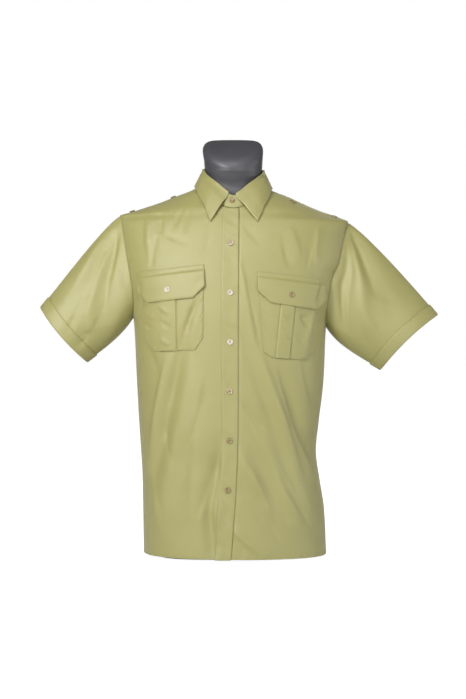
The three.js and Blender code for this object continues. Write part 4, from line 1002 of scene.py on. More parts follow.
def form_rings():
    """Rings of the dress form, from its flat base up the trunk and neck to its slanted cap."""
    turn = np.linspace(0, TURN, FORM.sides, endpoint=False)
    heights = np.arange(0, FORM.shoulder, FORM.height_step)
    z = np.concatenate([FORM.foot, heights[1:], [FORM.shoulder]])[:, None]
    gap = form_gap(z)
    distance = lerp(gap.side, np.where(np.cos(turn) > 0, gap.front, gap.back), np.cos(turn) ** 2)
    at = place(turn[None], z)
    trunk = bare(at) - skin_normal(at) * distance[..., None]
    trunk[:1] = lerp(trunk[:1].mean(1, keepdims=True), trunk[:1], FORM.foot_inset)
    trunk[:2, :, 2] = z[:2]

    middle = section(FORM.cap_front)
    deep = middle.front + middle.back

    def slant(y):
        back = (y + middle.front) / deep
        return lerp(FORM.cap_front, FORM.cap_back, back) + FORM.cap_arch * (1 - (2 * back - 1) ** 2)

    rough = bare(place(turn, slant(0)))
    top = slant(rough[:, 1])
    shares = np.linspace(FORM.neck_from, 1, FORM.neck_rings)
    neck = [bare(place(turn, lerp(FORM.shoulder, top, share))) for share in shares]
    rims = []
    for rim in FORM_RIMS[1:]:
        point = neck[-1].copy()
        keep = 1 - rim.inset / middle.front
        point[:, 0] = lerp(middle.centre, point[:, 0], keep)
        point[:, 1] *= keep
        point[:, 2] = slant(point[:, 1]) + rim.rise
        rims.append(point)
    return np.concatenate([trunk, np.stack(neck), np.stack(rims)])


def tube_faces(rings, sides):
    """Faces of a tube of rings of points, with a flat cap at either end."""
    faces = []
    for ring in range(rings - 1):
        for j in range(sides):
            k = (j + 1) % sides
            faces.append((ring * sides + j, ring * sides + k, (ring + 1) * sides + k, (ring + 1) * sides + j))
    last = (rings - 1) * sides
    return faces + [tuple(range(sides))[::-1], tuple(range(last, last + sides))]


def mesh_object(name, points, faces, material, uvs=None, edge=None):
    """An object from points in millimetres and faces of point numbers. uvs follow the faces' corners."""
    mesh = bpy.data.meshes.new(name)
    mesh.from_pydata((np.asarray(points) * MM).tolist(), [], faces)
    if uvs is not None:
        layer = mesh.uv_layers.new(name="cloth")
        layer.data.foreach_set("uv", (np.asarray(uvs) * MM).astype(np.float32).ravel())
    if edge is not None:
        attribute = mesh.attributes.new("edge_mm", "FLOAT", "POINT")
        attribute.data.foreach_set("value", np.asarray(edge, np.float32))
    mesh.shade_smooth()
    mesh.materials.append(material)
    piece = bpy.data.objects.new(name, mesh)
    bpy.context.scene.collection.objects.link(piece)
    return piece


def wall_mesh(name, outer, inner, material, wrap=False):
    """A closed cloth wall between two grids, with a rounded rim and its weave laid out in real size."""
    count, columns = outer.shape[:2]
    spans = columns if wrap else columns - 1
    r, c = np.meshgrid(np.arange(count - 1), np.arange(spans), indexing="ij")
    corners_r = np.stack([r, r, r + 1, r + 1], -1).reshape(-1, 4)
    corners_c = np.stack([c, c + 1, c + 1, c], -1).reshape(-1, 4)

    push = np.zeros_like(outer)
    push[0] += unit(outer[0] - outer[1])
    push[-1] += unit(outer[-1] - outer[-2])
    if wrap:
        loops = [[(0, i) for i in range(columns + 1)], [(count - 1, i) for i in range(columns, -1, -1)]]
    else:
        push[:, 0] += unit(outer[:, 0] - outer[:, 1])
        push[:, -1] += unit(outer[:, -1] - outer[:, -2])
        loop = [(0, i) for i in range(columns - 1)] + [(i, columns - 1) for i in range(count - 1)]
        loop += [(count - 1, i) for i in range(columns - 1, 0, -1)]
        loops = [loop + [(i, 0) for i in range(count - 1, -1, -1)]]
    thick = np.linalg.norm(outer - inner, axis=-1, keepdims=True)
    middle = (outer + inner) / 2 + unit(push) * thick * RIM_BULGE

    layers = count * columns
    at = lambda rows_, columns_: rows_ * columns + columns_ % columns
    front = at(corners_r, corners_c)
    faces = [front, front[:, ::-1] + layers]
    face_r, face_c = [corners_r, corners_r[:, ::-1]], [corners_c, corners_c[:, ::-1]]
    rim_points, rim_start = [], 2 * layers
    for loop in loops:
        ring = np.array(loop)
        a, b = ring[:-1], ring[1:]
        spots = np.arange(len(ring) - 1)
        mid_a = rim_start + len(rim_points) + spots
        mid_b = rim_start + len(rim_points) + (spots + 1) % len(spots)
        rim_points += [middle[row, column % columns] for row, column in ring[:-1]]
        out_a, out_b = at(a[:, 0], a[:, 1]), at(b[:, 0], b[:, 1])
        faces += [np.stack([out_b, out_a, mid_a, mid_b], -1)]
        faces += [np.stack([mid_b, mid_a, out_a + layers, out_b + layers], -1)]
        for _ in range(2):
            face_r.append(np.stack([b[:, 0], a[:, 0], a[:, 0], b[:, 0]], -1))
            face_c.append(np.stack([b[:, 1], a[:, 1], a[:, 1], b[:, 1]], -1))
    faces, face_r, face_c = [np.concatenate(part) for part in (faces, face_r, face_c)]
    points = np.concatenate([outer.reshape(-1, 3), inner.reshape(-1, 3), np.array(rim_points)])

    closed = np.concatenate([outer, outer[:, :1]], 1) if wrap else outer
    along, up = lengths(closed, 1), lengths(closed, 0)
    uvs = np.stack([along[face_r, face_c], up[face_r, face_c]], -1)
    distance = edge_distances(outer, wrap)
    edge = np.minimum(np.minimum(distance.bottom, distance.top), np.minimum(distance.left, distance.right))
    edge = np.concatenate([edge.ravel(), edge.ravel(), np.zeros(len(rim_points))])

    corner = points[faces[:, :3]]
    volume = (corner[:, 0] * np.cross(corner[:, 1], corner[:, 2])).sum()
    if volume < 0:
        faces, uvs = faces[:, ::-1], uvs[:, ::-1]
    return mesh_object(name, points, faces.tolist(), material, uvs.reshape(-1, 2), edge)


def inset_line(outer, inner, edge, distance, wrap=False, trim=(0.0, 0.0)):
    """Points and normals along one edge of a wall's outside, a distance in from it."""
    across = edge in ("left", "right")
    last = edge in ("top", "right")
    grid, under = [wall.transpose(1, 0, 2) if across else wall for wall in (outer, inner)]
    grid, under = [wall[::-1] if last else wall for wall in (grid, under)]
    away = lengths(grid, 0)
    points, normals = np.zeros_like(grid[0]), np.zeros_like(grid[0])
    for i in range(grid.shape[1]):
        row = min(np.searchsorted(away[:, i], distance), len(away) - 1)
        points[i] = [np.interp(distance, away[:, i], grid[:, i, axis]) for axis in range(3)]
        normals[i] = unit(grid[row, i] - under[row, i])
    if wrap:
        return np.concatenate([points, points[:1]]), np.concatenate([normals, normals[:1]])
    run = np.concatenate([[0], np.cumsum(np.linalg.norm(np.diff(points, axis=0), axis=-1))])
    keep = (run >= trim[0]) & (run <= run[-1] - trim[1])
    return points[keep], normals[keep]


# One stitch: its length as a share of the pitch, its half width and height in mm, its sections along its
# length, and the corners of a section.
STITCH = SimpleNamespace(long=0.8, wide=0.26, high=0.34, waver=0.03, sunk=0.15, raised=0.3)
STITCH_SECTIONS = rows(
    "along wide high", (-0.5, 0.35, 0.0), (-0.32, 0.9, 0.75), (0, 1, 1), (0.32, 0.9, 0.75), (0.5, 0.35, 0)
)
STITCH_CORNERS = ((-1, -0.2), (-0.6, 0.7), (0.6, 0.7), (1, -0.2))


def stitch_mesh(name, lines, material, pitch, seed):
    """Sewing as one mesh: a short raised stitch at each pitch along each line of points and normals."""
    random = np.random.default_rng(seed)
    long = pitch * STITCH.long
    points, faces, start = [], [], 0
    cell = np.array(tube_faces(len(STITCH_SECTIONS), len(STITCH_CORNERS)))
    size = len(STITCH_SECTIONS) * len(STITCH_CORNERS)
    for line, normal in lines:
        run = np.concatenate([[0], np.cumsum(np.linalg.norm(np.diff(line, axis=0), axis=-1))])
        count = int(run[-1] / pitch)
        if count < 2:
            continue
        centres = (np.arange(count) + 0.5) * run[-1] / count
        spot = lambda s, grid: np.stack([np.interp(s, run, grid[:, axis]) for axis in range(3)], -1)
        middle = spot(centres, line)
        up = unit(spot(centres, normal))
        ahead = unit(spot(centres + long / 2, line) - spot(centres - long / 2, line))
        ahead += random.normal(0, STITCH.waver, ahead.shape)
        side = unit(np.cross(up, ahead))
        block = []
        for part in STITCH_SECTIONS:
            centre = middle + ahead * part.along * long
            for across, rise in STITCH_CORNERS:
                height = part.high * (STITCH.raised + rise) - STITCH.sunk
                block.append(centre + side * across * STITCH.wide * part.wide + up * STITCH.high * height)
        points.append(np.stack(block, 1).reshape(-1, 3))
        faces.append((cell[None] + start + np.arange(count)[:, None, None] * size).reshape(-1, 4))
        start += count * size
    return mesh_object(name, np.concatenate(points), np.concatenate(faces).tolist(), material)


def scaled(colour, factor):
    return tuple(min(1.0, channel * factor) for channel in colour[:3]) + (1.0,)


class Finish:
    """A material in the making: its shader, and short ways to add the nodes that it needs."""

    def __init__(self, name, **sockets):
        self.material = bpy.data.materials.new(name)
        self.material.use_nodes = True
        self.tree = self.material.node_tree
        self.wear(**sockets)
        self.space = self.add("ShaderNodeTexCoord", "Object")

    def put(self, socket, value):
        """Sets a socket to a number or colour, or links another node's output to it."""
        if isinstance(value, bpy.types.NodeSocket):
            self.tree.links.new(value, socket)
        else:
            socket.default_value = value

    def wear(self, **sockets):
        """Gives the shader its values, by the names of its sockets."""
        shader = self.tree.nodes["Principled BSDF"]
        for name, value in sockets.items():
            self.put(shader.inputs[name.replace("_", " ").title().replace("Ior", "IOR")], value)
        return self.material

    def add(self, kind, output, inputs=None, **settings):
        """Adds a node and gives its output."""
        node = self.tree.nodes.new(kind)
        for name, value in settings.items():
            setattr(node, name, value)
        for name, value in (inputs or {}).items():
            self.put(node.inputs[name], value)
        return node.outputs[output]

    def noise(self, scale, detail, vector=None, **more):
        vector = self.space if vector is None else vector
        inputs = {"Vector": vector, "Scale": scale, "Detail": detail, **more}
        return self.add("ShaderNodeTexNoise", "Fac", inputs)

    def bands(self, direction, scale, distortion, vector=None, **more):
        vector = self.space if vector is None else vector
        inputs = {"Vector": vector, "Scale": scale, "Distortion": distortion, **more}
        return self.add("ShaderNodeTexWave", "Fac", inputs, wave_type="BANDS", bands_direction=direction)

    def ranged(self, value, low, high, to_low, to_high):
        inputs = {"Value": value, "From Min": low, "From Max": high, "To Min": to_low, "To Max": to_high}
        return self.add("ShaderNodeMapRange", "Result", inputs)

    def lean(self, colour, other, *share):
        """A colour that leans towards another, by a share that ranged works out."""
        inputs = {"Factor": self.ranged(*share), "A": colour, "B": other}
        return self.add("ShaderNodeMix", "Result", inputs, data_type="RGBA")

    def bump(self, height, strength, distance, **under):
        inputs = {"Height": height, "Strength": strength, "Distance": distance, **under}
        return self.add("ShaderNodeBump", "Normal", inputs)


def cloth_material(name, colour, shade):
    """Fine twill: diagonal ribs of crossed yarns, a soft sheen, and paler, rubbed edges."""
    make = Finish(
        name, base_color=colour, roughness=0.55, specular_ior_level=0.85,
        sheen_weight=0.3, sheen_roughness=0.38, sheen_tint=(1.0, 0.96, 0.84, 1),
    )
    grain = make.add("ShaderNodeUVMap", "UV", uv_map="cloth")
    edge = make.add("ShaderNodeAttribute", "Fac", attribute_name="edge_mm")
    ribs = make.bands("DIAGONAL", 470, 0.6, grain, Detail=1.0)
    yarns = make.bands("X", 620, 0.8, grain)
    slub = make.noise(900, 3, grain)
    mixed = make.lean(colour, shade, make.noise(9, 4), 0.3, 0.7, 0.0, 0.3)
    mixed = make.lean(mixed, scaled(shade, 0.8), ribs, 0.0, 0.6, 0.22, 0.0)
    mixed = make.lean(mixed, scaled(colour, 1.14), slub, 0.45, 0.75, 0.0, 0.3)
    mixed = make.lean(mixed, scaled(colour, 1.2), edge, 0.2, 1.6, 0.3, 0.0)
    weave = make.add("ShaderNodeMath", "Value", {0: ribs, 1: yarns}, operation="ADD")
    crumple = make.noise(42, 3, Roughness=0.45)
    relief = make.bump(crumple, 0.5, 0.0009, Normal=make.bump(weave, 0.35, 0.00009))
    return make.wear(base_color=mixed, roughness=make.ranged(slub, 0.3, 0.7, 0.47, 0.58), normal=relief)


def thread_material(name, colour):
    """Spun sewing thread, with the twist showing as fine slanted bands."""
    make = Finish(name, base_color=colour, roughness=0.5, sheen_weight=0.25, sheen_roughness=0.4)
    twist = make.bands("DIAGONAL", 520, 1.5)
    mixed = make.lean(colour, scaled(colour, 0.62), twist, 0.2, 0.8, 0.45, 0.0)
    return make.wear(base_color=mixed, normal=make.bump(twist, 0.4, 0.00008))


def form_material(name, colour):
    """The dress form's satin shell, with a faint moulded grain."""
    make = Finish(name, base_color=colour, roughness=0.42, specular_ior_level=0.6)
    haze = make.noise(14, 5)
    mixed = make.lean(colour, scaled(colour, 1.35), haze, 0.35, 0.7, 0.0, 0.5)
    moulded = make.bump(make.noise(700, 4), 0.25, 0.00012)
    return make.wear(base_color=mixed, roughness=make.ranged(haze, 0.3, 0.7, 0.42, 0.54), normal=moulded)


def button_material(name, colour, vein):
    """A polished button, clouded or mottled with a second colour."""
    make = Finish(name, base_color=colour, roughness=0.24, coat_weight=0.35, coat_roughness=0.12)
    cloud = make.noise(CLOUDS[name], 5, Distortion=1.4)
    mixed = make.lean(colour, vein, cloud, 0.42, 0.62, 0.0, 0.85)
    return make.wear(base_color=mixed, roughness=make.ranged(cloud, 0.3, 0.7, 0.18, 0.32))


def floor_material(name, colour):
    """A pale floor that glows for the camera alone, so that its glow lights nothing."""
    make = Finish(
        name, base_color=colour, roughness=0.9, specular_ior_level=0.1, emission_color=(1, 1, 1, 1),
    )
    mixed = make.lean(colour, scaled(colour, 0.985), make.noise(3, 2), 0.3, 0.7, 0.0, 1.0)
    seen = make.add("ShaderNodeLightPath", "Is Camera Ray")
    return make.wear(base_color=mixed, emission_strength=make.ranged(seen, 0.0, 1.0, 0.0, FLOOR_GLOW))


CLOUDS = {"pearl": 240, "horn": 320, "agate": 280}
FLOOR_GLOW = 0.97
FINISHES = {
    "khaki_twill": (cloth_material, "cloth", "shade"),
    "sewing_thread": (thread_material, "thread"),
    "satin_shell": (form_material, "form"),
    "pearl": (button_material, "pearl", "pearl_vein"),
    "horn": (button_material, "horn", "horn_vein"),
    "agate": (button_material, "agate", "horn_vein"),
    "studio_floor": (floor_material, "floor"),
}


def finish(name):
    """A finish of the shirt, made the first time that it is asked for."""
    if name in bpy.data.materials:
        return bpy.data.materials[name]
    maker, *parts = FINISHES[name]
    return maker(name, *[tuple(getattr(bpy.context.scene.shirt_colours, part)) for part in parts])


def cut_size(outer):
    """The flat width, length and area of what a grid shows, in metres."""
    along, up = lengths(outer, 1), lengths(outer, 0)
    one, two = outer[1:, 1:] - outer[:-1, :-1], outer[1:, :-1] - outer[:-1, 1:]
    area = np.linalg.norm(np.cross(one, two), axis=-1).sum() / 2
    return along[:, -1].max() * MM, up[-1].max() * MM, area * MM * MM


def cloth_piece(name, walls, wrap=False, sewing=(), seed=1, extra=()):
    """One cloth piece of the shirt with its sewing. sewing rows are an edge, a distance in and trims."""
    outer, inner = walls
    piece = wall_mesh(f"cloth_{name}", outer, inner, finish("khaki_twill"), wrap)
    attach(piece, "root")
    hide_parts(name)
    lines = [inset_line(outer, inner, edge, into, wrap, *trim) for edge, into, *trim in sewing]
    lines += list(extra)
    if lines:
        pitch = bpy.context.scene.shirt_sizes.stitch_pitch / MM
        stitches = stitch_mesh(f"stitches_{name}", lines, finish("sewing_thread"), pitch, seed)
        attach(stitches, "root")
    width, length, area = cut_size(np.concatenate([outer, outer[:, :1]], 1) if wrap else outer)
    min(area, width * length)


def cloth_thickness():
    return bpy.context.scene.shirt_sizes.cloth / MM


# A button's section, as radius and height, with its four holes and its thread.
BUTTON_PROFILE = (
    (0.01, 0.0), (4.9, 0.0), (5.9, 0.25), (6.25, 0.8), (6.3, 1.3), (6.15, 1.9), (5.75, 2.32),
    (5.25, 2.45), (4.75, 2.35), (4.3, 1.95), (3.8, 1.6), (2.9, 1.42), (1.6, 1.38), (0.01, 1.36),
)
HOLE = SimpleNamespace(off=1.25, radius=0.72, depth=6, middle=1, sides=16)
BUTTONHOLE = SimpleNamespace(half=7.75, apart=0.75, bar=1.4)
STRAND = SimpleNamespace(reach=1.35, low=0.6, arch=1.25, apart=0.32, radius=0.2, steps=9, sides=6)


def button_shape():
    """Points and faces of a four-hole button, its foot at the origin and its face along Z."""
    mesh = bpy.data.meshes.new("button_blank")
    turn = np.linspace(0, TURN, BUTTON.sides, endpoint=False)
    points = np.array([[(r * math.cos(a), r * math.sin(a), z) for a in turn] for r, z in BUTTON_PROFILE])
    faces = tube_faces(len(BUTTON_PROFILE), BUTTON.sides)
    mesh.from_pydata(points.reshape(-1, 3).tolist(), [], faces)
    blank = bpy.data.objects.new("button_blank", mesh)
    bpy.context.scene.collection.objects.link(blank)
    drills = []
    for x, y in ((1, 1), (-1, 1), (-1, -1), (1, -1)):
        bpy.ops.mesh.primitive_cylinder_add(
            vertices=HOLE.sides, radius=HOLE.radius, depth=HOLE.depth,
            location=(x * HOLE.off, y * HOLE.off, HOLE.middle),
        )
        drills.append(bpy.context.object)
        cut = blank.modifiers.new("hole", "BOOLEAN")
        cut.operation, cut.solver, cut.object = "DIFFERENCE", "EXACT", drills[-1]
    bpy.context.view_layer.update()
    done = bpy.data.meshes.new_from_object(blank.evaluated_get(bpy.context.evaluated_depsgraph_get()))
    shape = [tuple(v.co) for v in done.vertices], [tuple(p.vertices) for p in done.polygons]
    for thing in drills + [blank]:
        bpy.data.objects.remove(thing)
    return shape


def thread_shape():
    """The button's thread: three strands side by side over each pair of holes."""
    points, faces = [], []
    turn = np.linspace(0, TURN, STRAND.sides, endpoint=False)
    for y in (-HOLE.off, HOLE.off):
        for shift in (-STRAND.apart, 0.0, STRAND.apart):
            start = len(points)
            for s in np.linspace(-1.0, 1.0, STRAND.steps):
                x, z = STRAND.reach * s, STRAND.low + STRAND.arch * (1 - s**6)
                for a in turn:
                    aside, up = STRAND.radius * math.cos(a), STRAND.radius * math.sin(a)
                    points.append((x, y + shift + aside, z + up))
            for face in tube_faces(STRAND.steps, STRAND.sides):
                faces.append(tuple(start + i for i in face[::-1]))
    return points, faces


def add_button(name, foot, normal, look, shape, thread, spin):
    """A sewn-on button: its foot at a point of the cloth and its face along the normal."""
    normal = unit(normal)
    across = unit(np.cross((0, 0, 1.0), normal))
    across = across * math.cos(spin) + np.cross(normal, across) * math.sin(spin)
    axes = np.stack([across, np.cross(normal, across), normal])
    points = np.array(shape[0] + thread[0]) @ axes + foot
    offset = len(shape[0])
    faces = shape[1] + [tuple(i + offset for i in face) for face in thread[1]]
    piece = mesh_object(f"sewn_button_{name}", points, faces, finish(look))
    piece.data.materials.append(finish("sewing_thread"))
    piece.data.polygons.foreach_set("material_index", [0] * len(shape[1]) + [1] * len(thread[1]))
    piece.data.set_sharp_from_angle(angle=math.radians(BUTTON.sharp))
    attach(piece, "root")
    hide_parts(f"button_{name}")


def buttonhole(at, out):
    """Two rows of close upright stitches beside a slot, and a bar across each end."""
    centre, normal = skin(at, out), skin_normal(at)
    along = np.array([0, 0, 1.0])
    along = unit(along - normal * (along * normal).sum())
    side = np.cross(normal, along)
    half = BUTTONHOLE.half
    lines = []
    for across in (-BUTTONHOLE.apart, BUTTONHOLE.apart):
        lines.append([centre + along * t + side * across for t in np.linspace(-half, half, 12)])
    for end in (-half, half):
        lines.append([centre + along * end + side * t for t in np.linspace(-1, 1, 5) * BUTTONHOLE.bar])
    return [(np.stack(line), np.broadcast_to(normal, (len(line), 3))) for line in lines]


def placket_heights():
    return [PLACKET_BUTTONS.first - i * PLACKET_BUTTONS.pitch for i in range(PLACKET_BUTTONS.count)]


def flap_top():
    """How far a flap's outside stands off the front at its button."""
    return flap_lift(POCKET.flap_ramp[1]) + FLAP.cloth


def setting(name, description, default, unit_="NONE", **limits):
    return bpy.props.FloatProperty(
        name=name, description=description, default=default, unit=unit_, **limits,
    )


def size_setting(name, description, default, **limits):
    return setting(name, description, default, "LENGTH", **limits)


def colour_setting(name, description, *channels):
    return bpy.props.FloatVectorProperty(
        name=name, description=description, default=(*channels, 1), size=4, subtype="COLOR",
    )


class ShirtSizes(bpy.types.PropertyGroup):
    """Sizes that a user would change."""
    cloth: size_setting("Cloth", "Thickness of the shirt's cloth", 0.0014, min=0.0005)
    collar_cloth: size_setting("Collar cloth", "Thickness of the collar's leaf", 0.0016, min=0.0005)
    flap_cloth: size_setting(
        "Flap cloth", "Thickness of a pocket flap and of the collar's stand", 0.0018, min=0.0005,
    )
    stitch_pitch: size_setting("Stitch pitch", "Length of one stitch with its gap", 0.0027, min=0.001)


class ShirtColours(bpy.types.PropertyGroup):
    """Colours of the cloth, the thread, the buttons and the form."""
    cloth: colour_setting("Cloth", "Khaki of the twill", 0.3, 0.279, 0.092)
    shade: colour_setting("Shade", "Deeper khaki of the twill", 0.25, 0.232, 0.068)
    thread: colour_setting("Thread", "Sewing thread", 0.32, 0.3, 0.14)
    form: colour_setting("Form", "Shell of the dress form", 0.05, 0.05, 0.056)
    pearl: colour_setting("Pearl", "Pearly buttons", 0.62, 0.56, 0.47)
    pearl_vein: colour_setting("Pearl vein", "Clouding of the pearly buttons", 0.4, 0.3, 0.22)
    horn: colour_setting("Horn", "Brown buttons", 0.3, 0.235, 0.1)
    agate: colour_setting("Agate", "Beige of the first and fourth front buttons", 0.5, 0.4, 0.26)
    horn_vein: colour_setting("Horn vein", "Mottling of the brown buttons", 0.15, 0.1, 0.04)
    floor: colour_setting("Floor", "Pale studio floor", 0.9, 0.9, 0.9)


class StageSettings(bpy.types.PropertyGroup):
    """The camera and the lights."""
    camera_distance: size_setting("Camera distance", "From the form's middle to the camera", 4.0)
    camera_height: size_setting("Camera height", "Camera's height over the floor", 0.446)
    camera_side: size_setting("Camera side", "How far the camera stands to the wearer's left", 0.004)
    lens: setting("Lens", "Focal length", 95.08, "CAMERA")
    surroundings: setting("Surroundings", "Brightness of the white studio on the shirt", 0.17)
    key: setting("Key light", "Power of the large light, front and left", 82, "POWER")
    fill: setting("Fill light", "Power of the soft light, front and right", 23, "POWER")
    side: setting("Side light", "Power of the light on the right", 20, "POWER")
    top: setting("Top light", "Power of the light overhead", 22, "POWER")
    back: setting("Back lights", "Power of each of the two lights behind", 8, "POWER")


CHEST = (0, 0, 0.5)
FLOOR_REACH = 40.0
LIGHTS = rows(
    "name place size power",
    ("key_light", (-1.75, -2.5, 1.7), 0.8, "key"),
    ("fill_light", (1.4, -3.0, 0.9), 1.2, "fill"),
    ("side_light", (3.2, -0.6, 0.7), 1.2, "side"),
    ("back_light_right", (-0.9, 3.3, 1.0), 1.2, "back"),
    ("back_light_left", (0.9, 3.3, 1.0), 1.2, "back"),
    ("top_light", (0, -1.8, 2.4), 1, "top"),
)


def soft_light(name, spot, size, watts):
    """A round area light that faces the chest."""
    light = bpy.data.lights.new(name, "AREA")
    light.shape, light.size, light.energy = "DISK", size, watts
    lamp = bpy.data.objects.new(name, light)
    bpy.context.scene.collection.objects.link(lamp)
    lamp.location = spot
    aim = np.array(CHEST) - np.array(spot)
    yaw = math.atan2(aim[1], aim[0])
    down = math.atan2(-aim[2], math.hypot(aim[0], aim[1]))
    lamp.rotation_euler = (QUARTER - down, 0, yaw - QUARTER)


class SHIRT_OT_stage(bpy.types.Operator):
    """Sets the camera at the photograph's angle, a pale floor and soft studio light"""
    bl_idname = "shirt.stage"
    bl_label = "Stage"

    def execute(self, context):
        settings, scene = context.scene.shirt_stage, context.scene
        camera = bpy.data.objects.new("camera", bpy.data.cameras.new("camera"))
        scene.collection.objects.link(camera)
        camera.location = (settings.camera_side, -settings.camera_distance, settings.camera_height)
        camera.rotation_euler = (QUARTER, 0, 0)
        camera.data.lens = settings.lens
        camera.data.clip_end = 200
        scene.camera = camera

        corners = np.array([(-1, -1, 0), (1, -1, 0), (1, 1, 0), (-1, 1, 0)]) * FLOOR_REACH / MM
        floor = mesh_object("floor", corners, [(0, 1, 2, 3)], finish("studio_floor"))

        world = bpy.data.worlds.new("white_studio")
        world.use_nodes = True
        scene.world = world
        tree = world.node_tree
        background = tree.nodes["Background"]
        background.inputs["Color"].default_value = (1, 1, 1, 1)
        rays = tree.nodes.new("ShaderNodeLightPath")
        strength = tree.nodes.new("ShaderNodeMapRange")
        strength.inputs["To Min"].default_value = settings.surroundings
        strength.inputs["To Max"].default_value = 1.0
        tree.links.new(rays.outputs["Is Camera Ray"], strength.inputs["Value"])
        tree.links.new(strength.outputs["Result"], background.inputs["Strength"])

        for lamp in LIGHTS:
            soft_light(lamp.name, lamp.place, lamp.size, getattr(settings, lamp.power))
        scene.view_settings.view_transform = "Standard"
        return {"FINISHED"}


class SHIRT_OT_form(bpy.types.Operator):
    """Builds the limbless dress form that the shirt hangs on"""
    bl_idname = "shirt.form"
    bl_label = "Dress form"

    def execute(self, context):
        rings = form_rings()
        count, sides = rings.shape[:2]
        faces = tube_faces(count, sides)[:-2]
        points = np.concatenate([rings.reshape(-1, 3), rings[0].mean(0)[None], rings[-1].mean(0)[None]])
        foot, cap = len(points) - 2, len(points) - 1
        faces += [(foot, (j + 1) % sides, j) for j in range(sides)]
        last = (count - 1) * sides
        faces += [(cap, last + j, last + (j + 1) % sides) for j in range(sides)]
        piece = mesh_object("form_shell", points, faces, finish("satin_shell"))
        piece.data.set_sharp_from_angle(angle=math.radians(FORM.sharp))
        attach(piece, "root")
        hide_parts("dress_form")
        return {"FINISHED"}


class SHIRT_OT_body(bpy.types.Operator):
    """Cuts and sews the back, the yoke and both fronts"""
    bl_idname = "shirt.body"
    bl_label = "Back, yoke and fronts"

    def execute(self, context):
        cloth = cloth_thickness()
        hem, double = ("bottom", HEM.stitch), (NEAR_EDGE, WIDE_ROW)
        seams = {"bottom": (HEM.stitch,), "top": (), "left": double, "right": double}
        sewing = [hem] + [(edge, into) for edge in ("left", "right") for into in double]
        cloth_piece("back", panel(back_places(), cloth, seams), sewing=sewing, seed=2)
        seams = {"bottom": (), "top": double, "left": (NEAR_EDGE,), "right": (NEAR_EDGE,)}
        sewing = [(edge, into) for edge, lines in seams.items() for into in lines]
        cloth_piece("yoke", panel(yoke_places(), cloth, seams), sewing=sewing, seed=3)
        seams = {"bottom": (HEM.stitch,), "top": (), "right": (NEAR_EDGE,), "left": ()}
        sewing = [hem, ("right", WIDE_ROW, (500, 0))]
        for word, side in SIDES.items():
            walls = panel(front_places(side), cloth, seams)
            cloth_piece(f"front_{word}", walls, sewing=sewing, seed=4 + side)
        return {"FINISHED"}


class SHIRT_OT_sleeves(bpy.types.Operator):
    """Sets in both sleeves and turns up their cuffs"""
    bl_idname = "shirt.sleeves"
    bl_label = "Sleeves and cuffs"

    def execute(self, context):
        cloth, cuff_sewing = cloth_thickness(), [("bottom", EDGE_ROW), ("bottom", CUFF_ROW)]
        for word, side in SIDES.items():
            cloth_piece(f"sleeve_{word}", sleeve_walls(side, cloth), wrap=True)
            walls = cuff_walls(side, cloth)
            cloth_piece(f"cuff_{word}", walls, wrap=True, sewing=cuff_sewing, seed=12 + side)
        return {"FINISHED"}


class SHIRT_OT_collar(bpy.types.Operator):
    """Builds the collar's stand and its pointed leaf"""
    bl_idname = "shirt.collar"
    bl_label = "Collar"

    def execute(self, context):
        sizes = context.scene.shirt_sizes
        stand = [("bottom", EDGE_ROW), ("right", EDGE_ROW, (2, 2))]
        cloth_piece("collar_stand", stand_walls(sizes.flap_cloth / MM), sewing=stand, seed=21)
        leaf = [("top", COLLAR_ROW, (COLLAR_ROW, COLLAR_ROW))]
        leaf += [(edge, COLLAR_ROW, (8, COLLAR_ROW)) for edge in ("left", "right")]
        cloth_piece("collar_leaf", leaf_walls(sizes.collar_cloth / MM), sewing=leaf, seed=22)
        return {"FINISHED"}


class SHIRT_OT_placket(bpy.types.Operator):
    """Lays the buttoned placket over both front edges, with its buttonholes"""
    bl_idname = "shirt.placket"
    bl_label = "Placket"

    def execute(self, context):
        holes = []
        for z in placket_heights():
            holes += buttonhole(place_at(centre_line(z), z), PLACKET.gap + CLOTH)
        sewing = [("left", PLACKET.row, (8, 3)), ("right", NEAR_EDGE, (8, 3))]
        cloth_piece("placket", placket_walls(cloth_thickness()), sewing=sewing, seed=31, extra=holes)
        return {"FINISHED"}


class SHIRT_OT_pockets(bpy.types.Operator):
    """Sews on both pleated pockets and their flaps"""
    bl_idname = "shirt.pockets"
    bl_label = "Pockets and flaps"

    def execute(self, context):
        flap_cloth = context.scene.shirt_sizes.flap_cloth / MM
        bag = [(edge, EDGE_ROW) for edge in ("left", "right", "bottom")]
        flap = [(edge, EDGE_ROW, (0, EDGE_ROW)) for edge in ("left", "right")]
        flap += [("bottom", EDGE_ROW, (EDGE_ROW, EDGE_ROW)), ("top", NEAR_EDGE)]
        flap.append(("top", FLAP.row, (EDGE_ROW, EDGE_ROW)))
        for word, side in SIDES.items():
            cloth_piece(f"pocket_{word}", bag_walls(side, cloth_thickness()), sewing=bag, seed=42 + side)
            hole = buttonhole(place_at(*POCKETS[side].button), flap_top())
            walls = flap_walls(side, flap_cloth)
            cloth_piece(f"pocket_flap_{word}", walls, sewing=flap, seed=46 + side, extra=hole)
        return {"FINISHED"}


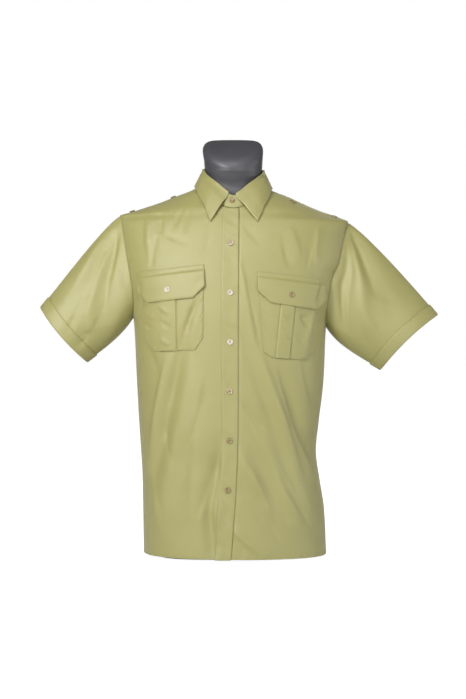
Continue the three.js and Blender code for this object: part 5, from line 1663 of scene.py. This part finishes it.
class SHIRT_OT_buttons(bpy.types.Operator):
    """Sews on every button"""
    bl_idname = "shirt.buttons"
    bl_label = "Buttons"

    def execute(self, context):
        shape, thread = button_shape(), thread_shape()
        random = np.random.default_rng(7)

        def sew(name, at, out, kind, look=None):
            spin = random.normal(0, BUTTON.turned)
            foot = skin(at, out + BUTTON.gap)
            add_button(name, foot, skin_normal(at), look or kind, shape, thread, spin)

        for i, z in enumerate(placket_heights()):
            kind = "pearl" if i < PLACKET_BUTTONS.pearly else "horn"
            look = "agate" if i in (0, 3) else None
            sew(f"placket_{i + 1}", place_at(centre_line(z), z), PLACKET.gap + CLOTH, kind, look)
        for word, side in SIDES.items():
            kind = "pearl" if side == RIGHT else "horn"
            sew(f"flap_{word}", place_at(*POCKETS[side].button), flap_top(), kind)
        for spot in SHOULDER_BUTTONS:
            sew(f"shoulder_{spot.name}", overhead(spot.x, spot.y), spot.out, "horn")
        angle = math.asin((COLLAR_BUTTON.x - NECK.centre) / NECK.half)
        foot, top = [stand_point(angle, rise, COLLAR.over_out) for rise in (0, 1)]
        normal = unit(np.cross(np.array([1.0, 0, 0]), top - foot))
        centre = lerp(foot, top, COLLAR_BUTTON.rise) + normal * BUTTON.gap
        add_button("collar", centre, normal, "horn", shape, thread, BUTTON.collar_turned)
        return {"FINISHED"}


class SHIRT_PT_panel(bpy.types.Panel):
    """The shirt's pieces and settings"""
    bl_idname = "SHIRT_PT_panel"
    bl_label = "Military shirt"
    bl_space_type = "VIEW_3D"
    bl_region_type = "UI"
    bl_category = "Shirt"

    def draw(self, context):
        layout, scene = self.layout, context.scene
        for group in (scene.shirt_sizes, scene.shirt_colours, scene.shirt_stage):
            box = layout.box()
            for name in group.__annotations__:
                box.prop(group, name)
        for piece in PIECES:
            layout.operator(piece.bl_idname)


PIECES = (
    SHIRT_OT_stage, SHIRT_OT_form, SHIRT_OT_body, SHIRT_OT_sleeves, SHIRT_OT_collar, SHIRT_OT_placket,
    SHIRT_OT_pockets, SHIRT_OT_buttons,
)
GROUPS = {"shirt_sizes": ShirtSizes, "shirt_colours": ShirtColours, "shirt_stage": StageSettings}


def register():
    for group in (*GROUPS.values(), *PIECES, SHIRT_PT_panel):
        bpy.utils.register_class(group)
    for name, group in GROUPS.items():
        setattr(bpy.types.Scene, name, bpy.props.PointerProperty(type=group))


def unregister():
    for name in GROUPS:
        delattr(bpy.types.Scene, name)
    for group in (SHIRT_PT_panel, *reversed(PIECES), *GROUPS.values()):
        bpy.utils.unregister_class(group)


def main():
    register()
    for piece in PIECES:
        group, name = piece.bl_idname.split(".")
        getattr(getattr(bpy.ops, group), name)()
    bpy.context.view_layer.update()


if __name__ == "__main__":
    main()
